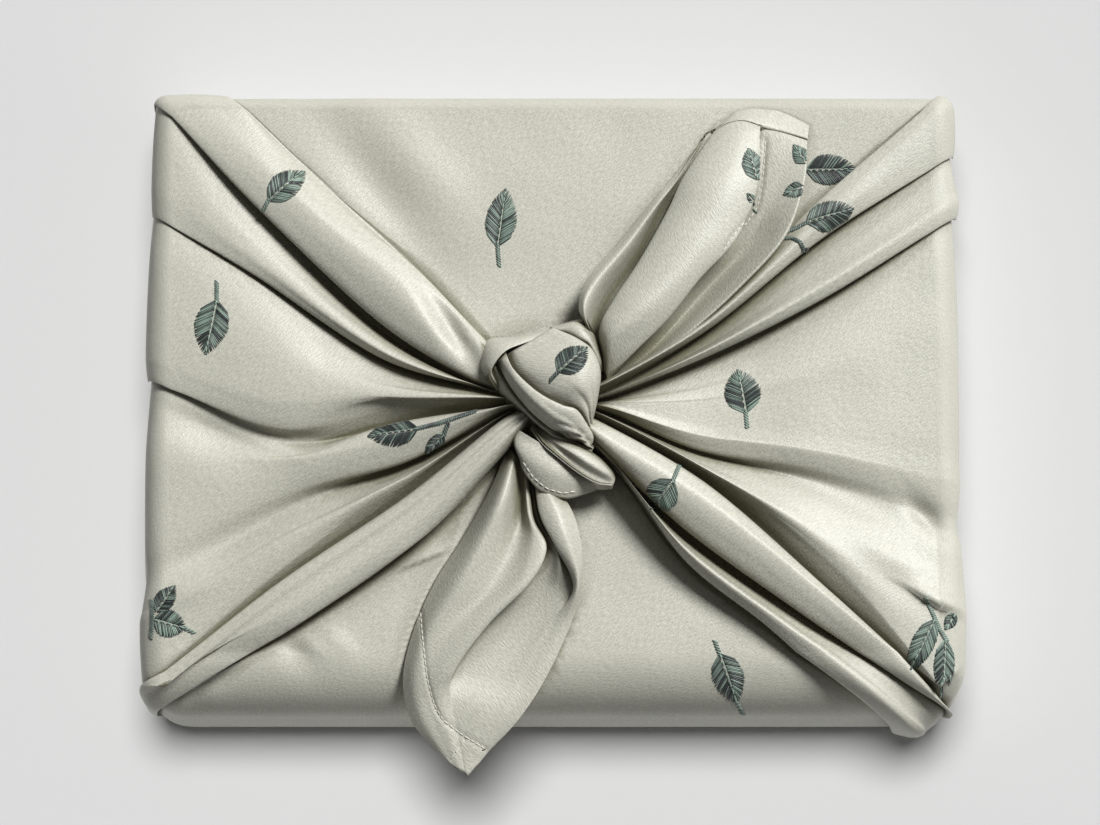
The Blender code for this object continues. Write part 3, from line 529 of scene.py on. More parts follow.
def edge_distance(side, at, share):
    """Distance round the outline of a place on one side: x on the back and front, y on the
    left and right; share is 1 where the top ends and 0 on the wall."""
    index = SIDES.index(side)
    length = FRAMES[index][3]
    distance = STARTS[index] + np.linspace(SIDE_END, length - SIDE_END, SIDE_STEPS)
    points, _ = outline(distance, share * by_side(EDGE_RUNS, distance))
    along = points[:, 0 if FRAMES[index][1][0] else 1]
    order = np.argsort(along)
    return float(np.interp(at, along[order], distance[order]))


def smooth_way(points, place):
    """Points on a smooth curve through a stack of points, place counted in spans."""
    spans = len(points) - 1
    place = np.asarray(place, float)
    index = np.clip(place.astype(int), 0, spans - 1)
    t = (place - index).reshape(place.shape + (1,) * (points.ndim - 1))
    first = 2 * points[:1] - points[1:2]
    last = 2 * points[-1:] - points[-2:-1]
    padded = np.concatenate([first, points, last])
    a, b, c, d = (padded[index + k] for k in range(4))
    bend = (2 * a - 5 * b + 4 * c - d) * t ** 2 + (3 * b - a - 3 * c + d) * t ** 3
    return 0.5 * (2 * b + (c - a) * t + bend)


def place_of(crease):
    """The numbers that fix a crease's line, so that the lines between two can be mixed."""
    knot, near, mid = (np.array(at) * MM for at in (crease.knot, crease.near, crease.mid))
    entry = KNOT + (knot - KNOT) / np.linalg.norm(knot - KNOT) * KNOT_MOUTH
    edges = [
        edge_distance(crease.side, at * MM, share)
        for at, share in zip(crease.leaves, (1.0, 0.0, 0.0))
    ]
    return np.array([*entry, *knot, *near, *mid, *edges])


def all_places():
    """Every crease's place in order, and the first again after a full turn."""
    rows = [place_of(crease) for crease in CREASES]
    for before, row in zip(rows, rows[1:]):
        while row[TOP] < before[TOP] - MM:
            row[TOP:] += AROUND
    rows.append(rows[0].copy())
    rows[-1][TOP:] += AROUND
    return np.array(rows)


def row_stations():
    """How far out each row is: 0 to 1 on top, 2 past the edge, 3 at the foot, 4 under."""
    top = [
        (stretch + np.linspace(0, 1, rows, endpoint=False)) / STRETCHES
        for stretch, rows in enumerate(TOP_ROWS)
    ]
    outer = [
        start + np.linspace(0, 1, rows + 1)[1:] for start, rows in enumerate(OUTER_ROWS, 1)
    ]
    return np.concatenate([*top, [1.0], *outer])


def base_row(line, station):
    """Points of the plain parcel in one row, and the directions off it."""
    count = len(line)
    points = np.zeros((count, 3))
    normals = np.zeros((count, 3))
    top, edge, foot = line[:, TOP], line[:, EDGE], line[:, FOOT]
    inner, _ = outline(top, by_side(EDGE_RUNS, top))
    if station <= 1:
        ways = np.stack([line[:, k:k + 2] for k in range(0, TOP, 2)] + [inner])
        points[:, :2] = smooth_way(ways, np.array([station * STRETCHES]))[0]
        points[:, 2] = HEIGHT
        normals[:, 2] = 1
    elif station <= 2:
        tip = (station - 1) * math.pi / 2
        distance = top + math.sin(tip) * (edge - top)
        run = by_side(EDGE_RUNS, distance)
        drop = by_side(EDGE_DROPS, distance)
        outer, _ = outline(edge, 0.0)
        _, normal = outline(distance, 0.0)
        points[:, :2] = inner + math.sin(tip) * (outer - inner)
        points[:, 2] = HEIGHT - drop * (1 - math.cos(tip))
        slant = np.stack([drop * math.sin(tip), run * math.cos(tip)], axis=1)
        slant /= np.linalg.norm(slant, axis=1, keepdims=True)
        normals[:, :2] = normal * slant[:, :1]
        normals[:, 2] = slant[:, 1]
    elif station <= 3:
        share = station - 2
        spot, normal = outline(edge + share * (foot - edge), 0.0)
        points[:, :2] = spot + normal * WALL_BULGE * math.sin(math.pi * share)
        start = HEIGHT - by_side(EDGE_DROPS, edge)
        points[:, 2] = start - share * (start - FOOT_ROUND)
        normals[:, :2] = normal
    else:
        tip = (station - 3) * math.pi / 2
        points[:, :2], normal = outline(foot, FOOT_ROUND * (1 - math.cos(tip)))
        points[:, 2] = FOOT_ROUND * (1 - math.sin(tip))
        normals[:, :2] = normal * (4 - station)
    return points, normals


def base_surface(places, stations):
    """Points of the plain parcel and the directions off it, rows by columns."""
    places = np.broadcast_to(places, (len(stations),) + places.shape[-2:])
    rows = [base_row(line, station) for line, station in zip(places, stations)]
    points = np.array([row[0] for row in rows])
    swell = np.clip(1 - (points[..., 0] * 2 / WIDTH) ** 2, 0, 1)
    swell = swell * np.clip(1 - (points[..., 1] * 2 / DEPTH) ** 2, 0, 1)
    points[..., 2] += CROWN * swell
    return points, np.array([row[1] for row in rows])


def along_way(sizes, stations, fades=True):
    """One size, or four on the way out from the knot, which may fade out down the wall."""
    sizes = np.broadcast_to(np.array(sizes, float), 4)
    sizes = np.concatenate([sizes[:1], sizes])
    size = smooth_way(sizes, np.clip(stations, 0, 1) * STRETCHES)
    if fades:
        wall = WALL_FADE * np.clip(stations - 2, 0, 1)
        size = size * (1 - wall - UNDER_FADE * np.clip(stations - 3, 0, 1))
    return size * MM


def steps_of(grid, axis):
    """Lengths of a grid's steps along one axis."""
    return np.linalg.norm(np.diff(grid, axis=axis), axis=2)


def fold_handles(places, stations):
    """For every row, the handles of the cross-section: band and share across it, height."""
    points, _ = base_surface(places, stations)
    widths = steps_of(points, 1)
    handles = []
    for index, crease in enumerate(CREASES):
        after = CREASES[(index + 1) % len(CREASES)]
        width = widths[:, index]
        width_before = widths[:, index - 1]
        room = LAP_ROOM * np.minimum(width, width_before)
        lap = np.clip(along_way(crease.lap, stations), -room, room)
        floor = np.maximum(0, along_way(crease.floor, stations))
        next_floor = np.maximum(0, along_way(after.floor, stations))
        crest = along_way(crease.crest, stations)
        shift = np.where(lap > 0, -lap / width_before, -lap / width)
        rise = np.minimum(SLOPE_ROOM, along_way(crease.slopes[1], stations, False) / width)
        fall = np.minimum(SLOPE_ROOM, along_way(after.slopes[0], stations, False) / width)
        brow = 1 - fall
        peak = along_way(crease.peak, stations, False) / MM
        peak = np.clip(peak, rise + PEAK_ROOM, brow - PEAK_ROOM)
        plump, next_plump = np.broadcast_to(crease.plump, 2)
        up = (crest - floor) * plump
        down = (crest - next_floor) * next_plump
        handles += [
            (index + shift, floor),
            (index + rise, floor + up * SIDE_SHARE),
            (index + (rise + peak) / 2, floor + up),
            (index + peak, crest),
            (index + (peak + brow) / 2, next_floor + down),
            (index + brow, next_floor + down * SIDE_SHARE),
        ]
    return handles


def pressed(points, ripples):
    """Height that soft ridges and troughs add at each point."""
    lift = np.zeros(points.shape[:-1])
    for ripple in ripples:
        turn = math.radians(ripple.heading)
        offset = points[..., :2] - np.array((ripple.x, ripple.y)) * MM
        along = offset[..., 0] * math.cos(turn) + offset[..., 1] * math.sin(turn)
        across = offset[..., 1] * math.cos(turn) - offset[..., 0] * math.sin(turn)
        width = np.where(across > 0, ripple.width, ripple.fall) * MM
        reach = (along / (ripple.length * MM)) ** 2 + (across / width) ** 2
        lift += ripple.lift * MM * np.exp(-reach)
    return lift


def wrapped_surface():
    """The whole wrapped cloth as a grid of points, where its bands start, and its rows."""
    places = all_places()
    stations = row_stations()
    bands = len(CREASES)
    handles = fold_handles(places, stations)
    across = np.stack([handle[0] for handle in handles])
    heights = np.stack([handle[1] for handle in handles])
    per_band = len(handles) // bands
    across = np.concatenate([across[-2:] - bands, across, across[:3] + bands])
    heights = np.concatenate([heights[-2:], heights, heights[:3]])
    starts = np.cumsum([0] + [crease.columns for crease in CREASES])
    spots = np.concatenate([
        2 + (index + np.linspace(0, 1, crease.columns, endpoint=False)) * per_band
        for index, crease in enumerate(CREASES)
    ])
    section = smooth_way(np.stack([across, heights], axis=-1), spots)
    where = section[..., 0].T
    lift = section[..., 1].T
    index = np.floor(where).astype(int)
    share = (where - index)[..., None]
    turns = (index // bands)[..., None] * AROUND
    low = places[index % bands].copy()
    high = places[index % bands + 1].copy()
    low[..., TOP:] += turns
    high[..., TOP:] += turns
    points, normals = base_surface(low + share * (high - low), stations)
    lift = lift + pressed(points, RIPPLES) * normals[..., 2]
    return points + normals * lift[..., None], starts, stations


def linked(name, data):
    """A new object in the scene."""
    made = bpy.data.objects.new(name, data)
    bpy.context.scene.collection.objects.link(made)
    return made


def cloth_mesh(name, grid, cloth_map):
    """A smooth sheet whose vertices are a grid of points, with its map in metres."""
    rows, columns = grid.shape[:2]
    shape = bmesh.new()
    bmesh.ops.create_grid(shape, x_segments=columns - 1, y_segments=rows - 1, size=1.0)
    bmesh.ops.reverse_faces(shape, faces=shape.faces)
    mesh = bpy.data.meshes.new(name)
    shape.to_mesh(mesh)
    shape.free()
    mesh.vertices.foreach_set("co", grid.reshape(-1, 3).astype(np.float32).ravel())
    layer = mesh.uv_layers.new(name="cloth")
    corners = np.empty(len(mesh.loops), np.int32)
    mesh.loops.foreach_get("vertex_index", corners)
    spots = cloth_map.reshape(-1, 2)[corners]
    layer.data.foreach_set("uv", spots.astype(np.float32).ravel())
    mesh.shade_smooth()
    mesh.update()
    return linked(name, mesh)


def world(points):
    """Points given in millimetres and heights above the flat top, in metres."""
    return (np.array(points, float) + (0, 0, HEIGHT / MM)) * MM


def fold_lines(folds):
    """The folds of a piece as stacked lines, with a turned-under line beside each rim."""
    lines = []
    for index, fold in enumerate(folds):
        line = world(fold.points)
        lap = np.broadcast_to(np.array(fold.lap) * MM, len(line))
        drop = np.broadcast_to(np.array(fold.drop) * MM, len(line))
        if lap.any():
            neighbour = world(folds[index - 1 if lap[0] > 0 else index + 1].points)
            toward = (neighbour - line) * (1, 1, 0)
            toward /= np.maximum(np.linalg.norm(toward, axis=1, keepdims=True), 1e-6)
            under = line + toward * (lap * np.sign(lap[0]))[:, None]
            under[:, 2] -= drop
            lines += [line, under] if lap[0] > 0 else [under, line]
        else:
            lines.append(line)
    return np.stack(lines)


def folded_grid(folds, rows, per_fold):
    """A grid of points over a piece, its rows along the folds' lengths."""
    lines = fold_lines(folds)
    gaps = lines.shape[0] - 1
    spans = lines.shape[1] - 1
    along = smooth_way(lines.transpose(1, 0, 2), np.linspace(0, spans, rows))
    places = np.linspace(0, gaps, gaps * per_fold + 1)
    return smooth_way(along.transpose(1, 0, 2), places).transpose(1, 0, 2)


def grid_crosses(grid):
    """Across crossed with down at each point of a grid."""
    return np.cross(np.gradient(grid, axis=1), np.gradient(grid, axis=0))


def raised(grid, lift):
    """A grid of points moved off itself, the way that faces up overall."""
    normals = grid_crosses(grid)
    normals /= np.maximum(np.linalg.norm(normals, axis=2, keepdims=True), 1e-9)
    normals = normals * (1 if normals[..., 2].mean() > 0 else -1)
    return grid + normals * lift[..., None]


def face_up(grid):
    """The same grid with its columns in the order that turns its faces up."""
    return grid if grid_crosses(grid)[..., 2].mean() < 0 else grid[:, ::-1]


def map_of(grid):
    """The cloth's own map of a grid in metres: distance across and distance along."""
    u = np.concatenate([np.zeros((len(grid), 1)), np.cumsum(steps_of(grid, 1), axis=1)], axis=1)
    v = np.concatenate([np.zeros((1, len(grid[0]))), np.cumsum(steps_of(grid, 0), axis=0)])
    v = np.repeat(v.mean(axis=1, keepdims=True), grid.shape[1], axis=1)
    return np.stack([u - u.mean(axis=1, keepdims=True), v], axis=-1)


def add_cloth(scene, name, grid, cloth_map, folded=True):
    """A piece of the furoshiki, with its finish.  A folded edge
    gets its thickness inwards from the face that shows."""
    piece = cloth_mesh(name, grid, cloth_map)
    settings = scene.furoshiki_cloth
    piece.data.materials.append(bpy.data.materials.get("woven_sateen") or sateen(settings))
    if folded:
        solidify = piece.modifiers.new("thickness", "SOLIDIFY")
        solidify.thickness = settings.fold_thickness
        solidify.offset = -1
        solidify.use_even_offset = False
    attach(piece, "root")
    return piece


class Value:
    """A shader socket that Python's operators turn into maths nodes."""

    def __init__(self, nodes, socket):
        self.nodes = nodes
        self.socket = socket

    def maths(self, operation, first, second):
        return self.nodes.add("ShaderNodeMath", {"operation": operation}, {0: first, 1: second})

    def __add__(self, other):
        return self.maths("ADD", self, other)

    def __sub__(self, other):
        return self.maths("SUBTRACT", self, other)

    def __rsub__(self, other):
        return self.maths("SUBTRACT", other, self)

    def __mul__(self, other):
        return self.maths("MULTIPLY", self, other)

    __radd__ = __add__
    __rmul__ = __mul__


class Nodes:
    """A material's node tree, with one way to add any node."""

    def __init__(self, name):
        self.material = bpy.data.materials.new(name)
        self.material.use_nodes = True
        self.tree = self.material.node_tree
        self.shader = self.tree.nodes["Principled BSDF"]

    def feed(self, target, value):
        if isinstance(value, Value):
            self.tree.links.new(value.socket, target)
        else:
            target.default_value = value

    def add(self, kind, settings=None, inputs=None, output=0):
        node = self.tree.nodes.new(kind)
        for key, value in (settings or {}).items():
            setattr(node, key, value)
        for key, value in (inputs or {}).items():
            self.feed(node.inputs[key], value)
        return Value(self, node.outputs[output])

    def noise(self, where, scale, detail):
        inputs = {"Vector": where, "Scale": scale, "Detail": detail}
        return self.add("ShaderNodeTexNoise", {}, inputs, "Fac")

    def attribute(self, name):
        return self.add("ShaderNodeAttribute", {"attribute_name": name}, {}, "Fac")

    def spread(self, value, low, high):
        """The share of the way from low to high."""
        return self.add("ShaderNodeMapRange", {}, {0: value, 1: low, 2: high, 3: 0.0, 4: 1.0})

    def mix(self, factor, first, second, blend="MIX"):
        settings = {"data_type": "RGBA", "blend_type": blend}
        return self.add("ShaderNodeMix", settings, {0: factor, 6: first, 7: second}, 2)

    def bump(self, height, strength, distance, **more):
        inputs = {"Strength": strength, "Distance": distance, "Height": height, **more}
        return self.add("ShaderNodeBump", {}, inputs, "Normal")

    def finish(self, **sockets):
        for name, value in sockets.items():
            self.feed(self.shader.inputs[name.replace("_", " ")], value)
        return self.material


def colour(values, factor=1.0):
    """A colour for a socket, made darker or lighter."""
    return tuple(channel * factor for channel in values) + (1.0,)


def sateen(settings):
    """Cotton sateen: a fine twill of floating threads, soft sheen and faint unevenness, with
    painted shade deep in the folds.
    """
    nodes = Nodes("woven_sateen")
    cloth_map = nodes.add("ShaderNodeUVMap", {"uv_map": "cloth"})
    turn = {"Vector": cloth_map, "Rotation": (0, 0, settings.twill_angle)}
    turned = nodes.add("ShaderNodeMapping", {}, turn)
    stretch = {"Vector": turned, "Scale": (1.0, 0.22, 1.0)}
    stretched = nodes.add("ShaderNodeMapping", {}, stretch)
    floats = nodes.noise(stretched, 1.0 / settings.twill_pitch, 1.0)
    slubs = nodes.noise(turned, 0.8 / settings.twill_pitch, 2.0)
    clouds = nodes.noise(cloth_map, 30.0, 2.0)
    soft = nodes.noise(cloth_map, 32.0, 1.0)
    shade = nodes.spread(clouds * 0.15 + floats * 0.50 + slubs * 0.35, 0.40, 0.60)
    base = settings.cloth_colour
    tint = nodes.mix(shade, colour(base, 0.86), colour(base, 1.10))
    # Painted shade: the cloth's colour is darkened where the folds around it would keep out the
    # light.
    painted_shade = nodes.spread(nodes.attribute("tuck"), 0.04, 0.50)
    tint = nodes.mix(painted_shade, tint, colour(settings.painted_shade_tint), "MULTIPLY")
    drape = nodes.bump(soft, 1.0, 0.0005)
    bump = nodes.bump(floats * 0.8 + slubs * 0.6, 1.0, settings.twill_relief, Normal=drape)
    return nodes.finish(
        Base_Color=tint, Roughness=0.38 + floats * 0.14, Normal=bump, Sheen_Weight=0.12,
        Sheen_Roughness=0.35, Sheen_Tint=(0.95, 0.96, 0.90, 1.0), Specular_IOR_Level=0.55,
    )


def thread(name, dark, light):
    """Embroidery thread: each stitch has its own tone, with a soft gloss."""
    nodes = Nodes(name)
    tone = nodes.attribute("tone")
    place = nodes.add("ShaderNodeTexCoord", {}, {}, "Object")
    fuzz = nodes.noise(place, 2600.0, 1.0)
    tint = nodes.mix(tone + (fuzz - 0.5) * 0.5, colour(dark), colour(light))
    return nodes.finish(
        Base_Color=tint, Roughness=0.30 + fuzz * 0.2, Normal=nodes.bump(fuzz, 0.4, 0.0001),
        Sheen_Weight=0.2, Specular_IOR_Level=0.5,
    )


Number = bpy.props.FloatProperty
Length = partial(Number, unit="LENGTH")
Angle = partial(Number, subtype="ANGLE")
Colour = partial(bpy.props.FloatVectorProperty, subtype="COLOR", size=3, min=0.0, max=1.0)


class ClothSettings(bpy.types.PropertyGroup):
    """The cloth's finish, and the tint of the shade painted deep in its folds."""

    cloth_colour: Colour(
        name="Cloth colour", description="Colour of the sateen", default=(0.52, 0.515, 0.44)
    )
    # Painted shade: the colour that the cloth is darkened towards deep in a fold.
    painted_shade_tint: Colour(
        name="Painted shade tint", description="What the cloth's colour is multiplied by deep in a fold",
        default=(0.36, 0.345, 0.27),
    )
    twill_pitch: Length(
        name="Twill pitch", description="Distance between the twill's lines", default=0.00047
    )
    twill_angle: Angle(
        name="Twill angle", description="Slant of the twill's lines", default=math.radians(52)
    )
    twill_relief: Length(name="Twill relief", description="Depth of the weave", default=0.00016)
    fold_thickness: Length(
        name="Fold thickness", description="Thickness of a folded edge", default=0.0009
    )


class ThreadSettings(bpy.types.PropertyGroup):
    """The embroidery and the hem's stitches."""

    leaf_dark: Colour(
        name="Dark thread", description="Darkest leaf thread", default=(0.022, 0.030, 0.029)
    )
    leaf_light: Colour(
        name="Light thread", description="Lightest leaf thread", default=(0.30, 0.40, 0.33)
    )
    stitch_pitch: Length(
        name="Stitch pitch", description="Distance between a leaf's stitches", default=0.00052
    )
    hem_stitch: Length(
        name="Hem stitch", description="Length of a hem's stitch and the gap after it",
        default=0.0021,
    )


class StageSettings(bpy.types.PropertyGroup):
    """The floor, the light and the camera."""

    floor_colour: Colour(
        name="Floor colour", description="Colour of the floor", default=(0.74, 0.74, 0.74)
    )
    camera_tilt: Angle(
        name="Camera tilt", description="Height of the camera above the horizon",
        default=math.radians(80),
    )
    camera_distance: Length(
        name="Camera distance", description="From the camera to the parcel's top", default=1.4
    )
    cloth_light: Number(
        name="Light on the cloth", description="Strength in W per square metre", default=4.45
    )
    floor_light: Number(
        name="Light on the floor", description="Strength in W per square metre", default=2.75
    )
    sky_strength: Number(
        name="Sky", description="Strength of the white surround", default=0.11
    )


class FUROSHIKI_OT_wrap(bpy.types.Operator):
    """Lays the cloth's flaps and gathers over the parcel"""

    bl_idname = "furoshiki.wrap"
    bl_label = "Wrap"

    def execute(self, context):
        grid, starts, stations = wrapped_surface()
        around = len(grid[0])
        drop = np.clip(stations - 1, 0, 3)[:, None, None]
        names = [crease.name for crease in CREASES]
        bands = np.repeat(np.arange(len(CREASES)), [crease.columns for crease in CREASES])
        for name, span in SPANS.items():
            start, stop = (starts[names.index(end)] for end in span)
            stop += around if stop <= start else 0
            columns = np.arange(start, stop + 1) % around
            part = grid[:, columns]
            cloth_map = part[..., :2] * (1 + MAP_SPREAD * drop)
            piece = add_cloth(
                context.scene, name, part, cloth_map, folded=False
            )
            band = piece.data.attributes.new("band", "INT", "FACE")
            rows = np.tile(bands[columns[:-1]], len(grid) - 1)
            band.data.foreach_set("value", rows.astype(np.int32))
            if name == "front_flap":
                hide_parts(CLOTH_NODE)
        self.make_base(context)
        return {"FINISHED"}

    def make_base(self, context):
        """The middle of the cloth, under the parcel."""
        across = np.linspace(-0.5, 0.5, BASE_COLUMNS) * (WIDTH - 2 * FOOT_ROUND)
        along = np.linspace(0.5, -0.5, BASE_ROWS) * (DEPTH - 2 * FOOT_ROUND)
        x, y = np.meshgrid(across, along)
        grid = np.stack([x, y, np.full_like(x, BASE_GAP)], axis=-1)[:, ::-1]
        add_cloth(
            context.scene, "cloth_base", grid, grid[..., :2], folded=False
        )


def add_pleats(grid):
    """Fine pleats that deepen along a band's last part, across its middle."""
    way = np.linspace(0, 1, len(grid))
    along = np.clip((way - PLEATS_START) / (1 - PLEATS_START), 0, 1)[:, None]
    share = np.linspace(0, 1, grid.shape[1])[None, :]
    wave = np.abs(np.sin((share * PLEATS + PLEAT_DRIFT * along) * math.pi)) - PLEAT_VALLEY
    wave = wave * np.sin(share * math.pi) ** 2
    return raised(grid, PLEAT_HEIGHT * along ** 1.2 * wave)


class FUROSHIKI_OT_knot(bpy.types.Operator):
    """Ties the knot from its folded bands"""

    bl_idname = "furoshiki.knot"
    bl_label = "Knot"

    def execute(self, context):
        for name, folds in KNOT_PARTS.items():
            grid = folded_grid(folds, *KNOT_GRID)
            if name == "knot_over_band":
                grid = add_pleats(grid)
                grid = raised(grid, pressed(grid, KNOT_RIPPLES))
            grid = face_up(grid)
            add_cloth(context.scene, name, grid, map_of(grid))
        return {"FINISHED"}


def sewn(grid, name):
    """A tail pulled in a little along its lines of stitches."""
    lift = np.zeros(grid.shape[:2])
    for seam in SEAMS:
        if seam.cloth == name:
            line = np.array(seam.points) * MM
            spots = smooth_way(line, np.linspace(0, len(line) - 1, GROOVE_STEPS * len(line)))
            gap = np.linalg.norm(grid[..., None, :2] - spots, axis=-1).min(axis=-1)
            lift -= GROOVE * np.exp(-(gap / GROOVE_RUN) ** 2)
    return raised(grid, lift)


class FUROSHIKI_OT_tails(bpy.types.Operator):
    """Lets the two free tails out of the knot"""

    bl_idname = "furoshiki.tails"
    bl_label = "Tails"

    def execute(self, context):
        for name, folds in TAILS.items():
            grid = face_up(sewn(folded_grid(folds, *TAIL_GRID), name))
            add_cloth(context.scene, name, grid, map_of(grid))
        return {"FINISHED"}


class Draper:
    """Puts points down on a piece of cloth from straight above."""

    def __init__(self, context, name):
        piece = bpy.data.objects[name]
        self.tree = BVHTree.FromObject(piece, context.evaluated_depsgraph_get())
        band = piece.data.attributes.get("band")
        self.bands = None
        if band:
            self.bands = np.empty(len(band.data), np.int32)
            band.data.foreach_get("value", self.bands)

    def hit(self, x, y):
        """The point, the direction off the cloth and the band at a place, or None."""
        spot, normal, face, _ = self.tree.ray_cast(Vector((x, y, 1.0)), Vector((0, 0, -1)))
        if spot is None:
            return None
        return spot, normal, -1 if self.bands is None else self.bands[face]


class Stitcher:
    """Gathers stitches into one mesh, each a rounded length of thread laid on the cloth."""

    def __init__(self, name, draper, band=None):
        self.name = name
        self.draper = draper
        self.band = band
        self.jump = RIM_JUMP if band is None else BAND_JUMP
        self.shape = bmesh.new()
        self.tone = self.shape.faces.layers.float.new("tone")

    def reach(self, start, end):
        """How much of the way from start to end lies on one face of the fold, as a share."""
        steps = max(3, math.ceil(np.linalg.norm(end - start) / STITCH_STEP))
        before = None
        for step in range(steps + 1):
            hit = self.draper.hit(*(start + (end - start) * step / steps))
            off = hit is None or (self.band is not None and hit[2] != self.band)
            if off or (before is not None and abs(hit[0].z - before) > self.jump):
                return (step - 1) / steps
            before = hit[0].z
        return 1.0

    def lay(self, start, end, radius, tone, lift):
        """One stitch from start to end on the cloth's plan, cut short where a fold hides it."""
        whole = np.linalg.norm(end - start)
        end = start + (end - start) * self.reach(start, end)
        way = end - start
        length = np.linalg.norm(way)
        if length < min(SHORTEST_STITCH * whole, 2 * radius):
            return
        across = np.array((-way[1], way[0])) / length * radius
        made = bmesh.ops.create_uvsphere(
            self.shape, u_segments=THREAD_SIDES, v_segments=THREAD_RINGS, radius=1.0
        )
        for vert in made["verts"]:
            share = vert.co.z / 2 + 0.5
            hit = self.draper.hit(*(start + way * share + across * vert.co.x))
            if hit is None:
                bmesh.ops.delete(self.shape, geom=made["verts"], context="VERTS")
                return
            height = lift + radius * THREAD_FLATNESS * (vert.co.y + THREAD_SEAT)
            vert.co = hit[0] + hit[1] * height
        for face in {face for vert in made["verts"] for face in vert.link_faces}:
            face[self.tone] = tone

    def finish(self, material):
        mesh = bpy.data.meshes.new(self.name)
        bmesh.ops.recalc_face_normals(self.shape, faces=self.shape.faces)
        self.shape.to_mesh(mesh)
        self.shape.free()
        mesh.shade_smooth()
        mesh.materials.append(material)
        piece = linked(self.name, mesh)
        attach(piece, "root")


class Route:
    """A line on the cloth's plan, read by the distance along it."""

    def __init__(self, points):
        self.points = np.array(points, float)
        steps = np.linalg.norm(np.diff(self.points, axis=0), axis=1)
        self.along = np.concatenate([[0], np.cumsum(steps)])
        self.length = self.along[-1]

    def at(self, distance):
        return np.array([np.interp(distance, self.along, axis) for axis in self.points.T])


def leaf_half_width(share):
    """Half the width of a leaf, as a share of its widest, on the way from base to tip."""
    return math.sin(math.pi * share ** 0.85) ** 0.72 if 0 < share < 1 else 0.0


def stitch_leaf(stitcher, leaf, pitch, chance):
    """A leaf in satin stitch: slanting threads from its midrib to a toothed edge."""
    base = np.array(leaf.base) * MM
    way = np.array(leaf.tip) * MM - base
    length = np.linalg.norm(way)
    side = np.array((-way[1], way[0])) / length
    half = leaf.width * MM / 2
    count = max(5, round(length / pitch))
    for hand in (-1, 1):
        for index in range(count):
            root = index / count
            end = min(0.995, root + LEAF_SLANT + chance.uniform(-0.01, 0.01))
            out = half * leaf_half_width(end) * (LEAF_OVERHANG + chance.uniform(-0.03, 0.06))
            start = base + way * root + side * hand * RIB_GAP
            stop = base + way * end + side * hand * max(out, LEAST_OUT)
            tone = leaf.tone + chance.choice(LEAF_TONES) + chance.uniform(-0.1, 0.1)
            stitcher.lay(start, stop, pitch * LEAF_RADIUS, tone, LEAF_LIFT)
            shift = way / count / 2
            # A dark thread in the gap between two stitches: painted shade between the threads.
            stitcher.lay(start + shift, stop + shift, pitch * GAP_RADIUS, GAP_SHADE_TONE, GAP_LIFT)
    rib = [base, base + way * 0.5, base + way * 0.97]
    stitch_line(stitcher, rib, RIB_RADIUS, leaf.tone + RIB_TONE, RIB_PITCH, RIB_LIFT)


def stitch_line(stitcher, points, radius, tone, pitch, lift):
    """A row of straight stitches along a line."""
    route = Route(points)
    count = max(1, int(route.length / pitch))
    ends = np.linspace(0, route.length, count + 1)
    for first, last in zip(ends, ends[1:]):
        last = first + (last - first) * STITCH_SHARE
        stitcher.lay(route.at(first), route.at(last), radius, tone, lift)


def stitch_stem(stitcher, points, tone, chance):
    """A stem of short threads, each slanting across its line like a cord's turns."""
    route = Route(np.array(points, float) * MM)
    count = max(2, int(route.length / STEM_PITCH))
    for at in np.linspace(0, route.length, count):
        spot = route.at(at)
        way = route.at(at + STEM_LOOK) - route.at(at - STEM_LOOK)
        way /= max(np.linalg.norm(way), 1e-9)
        cross = np.array((-way[1], way[0]))
        slant = way * STEM_SLANT[0] + cross * STEM_SLANT[1]
        half = slant / np.linalg.norm(slant) * STEM_HALF * MM
        shade = tone + chance.uniform(-0.15, 0.15)
        stitcher.lay(spot - half, spot + half, STEM_RADIUS, shade, STEM_LIFT)


class FUROSHIKI_OT_leaves(bpy.types.Operator):
    """Embroiders the leaves, twigs and buds"""

    bl_idname = "furoshiki.leaves"
    bl_label = "Leaves"

    def execute(self, context):
        settings = context.scene.furoshiki_thread
        finish = thread("leaf_thread", settings.leaf_dark, settings.leaf_light)
        names = [crease.name for crease in CREASES]
        cloths = dict.fromkeys(leaf.cloth for leaf in LEAVES)
        drapers = {name: Draper(context, name) for name in cloths}
        for index, leaf in enumerate(LEAVES):
            chance = random.Random(index)
            band = names.index(leaf.band) if leaf.band else None
            stitcher = Stitcher(leaf.name, drapers[leaf.cloth], band)
            if leaf.width:
                stitch_leaf(stitcher, leaf, settings.stitch_pitch, chance)
            if leaf.stem:
                stitch_stem(stitcher, leaf.stem, leaf.tone, chance)
            stitcher.finish(finish)
        return {"FINISHED"}


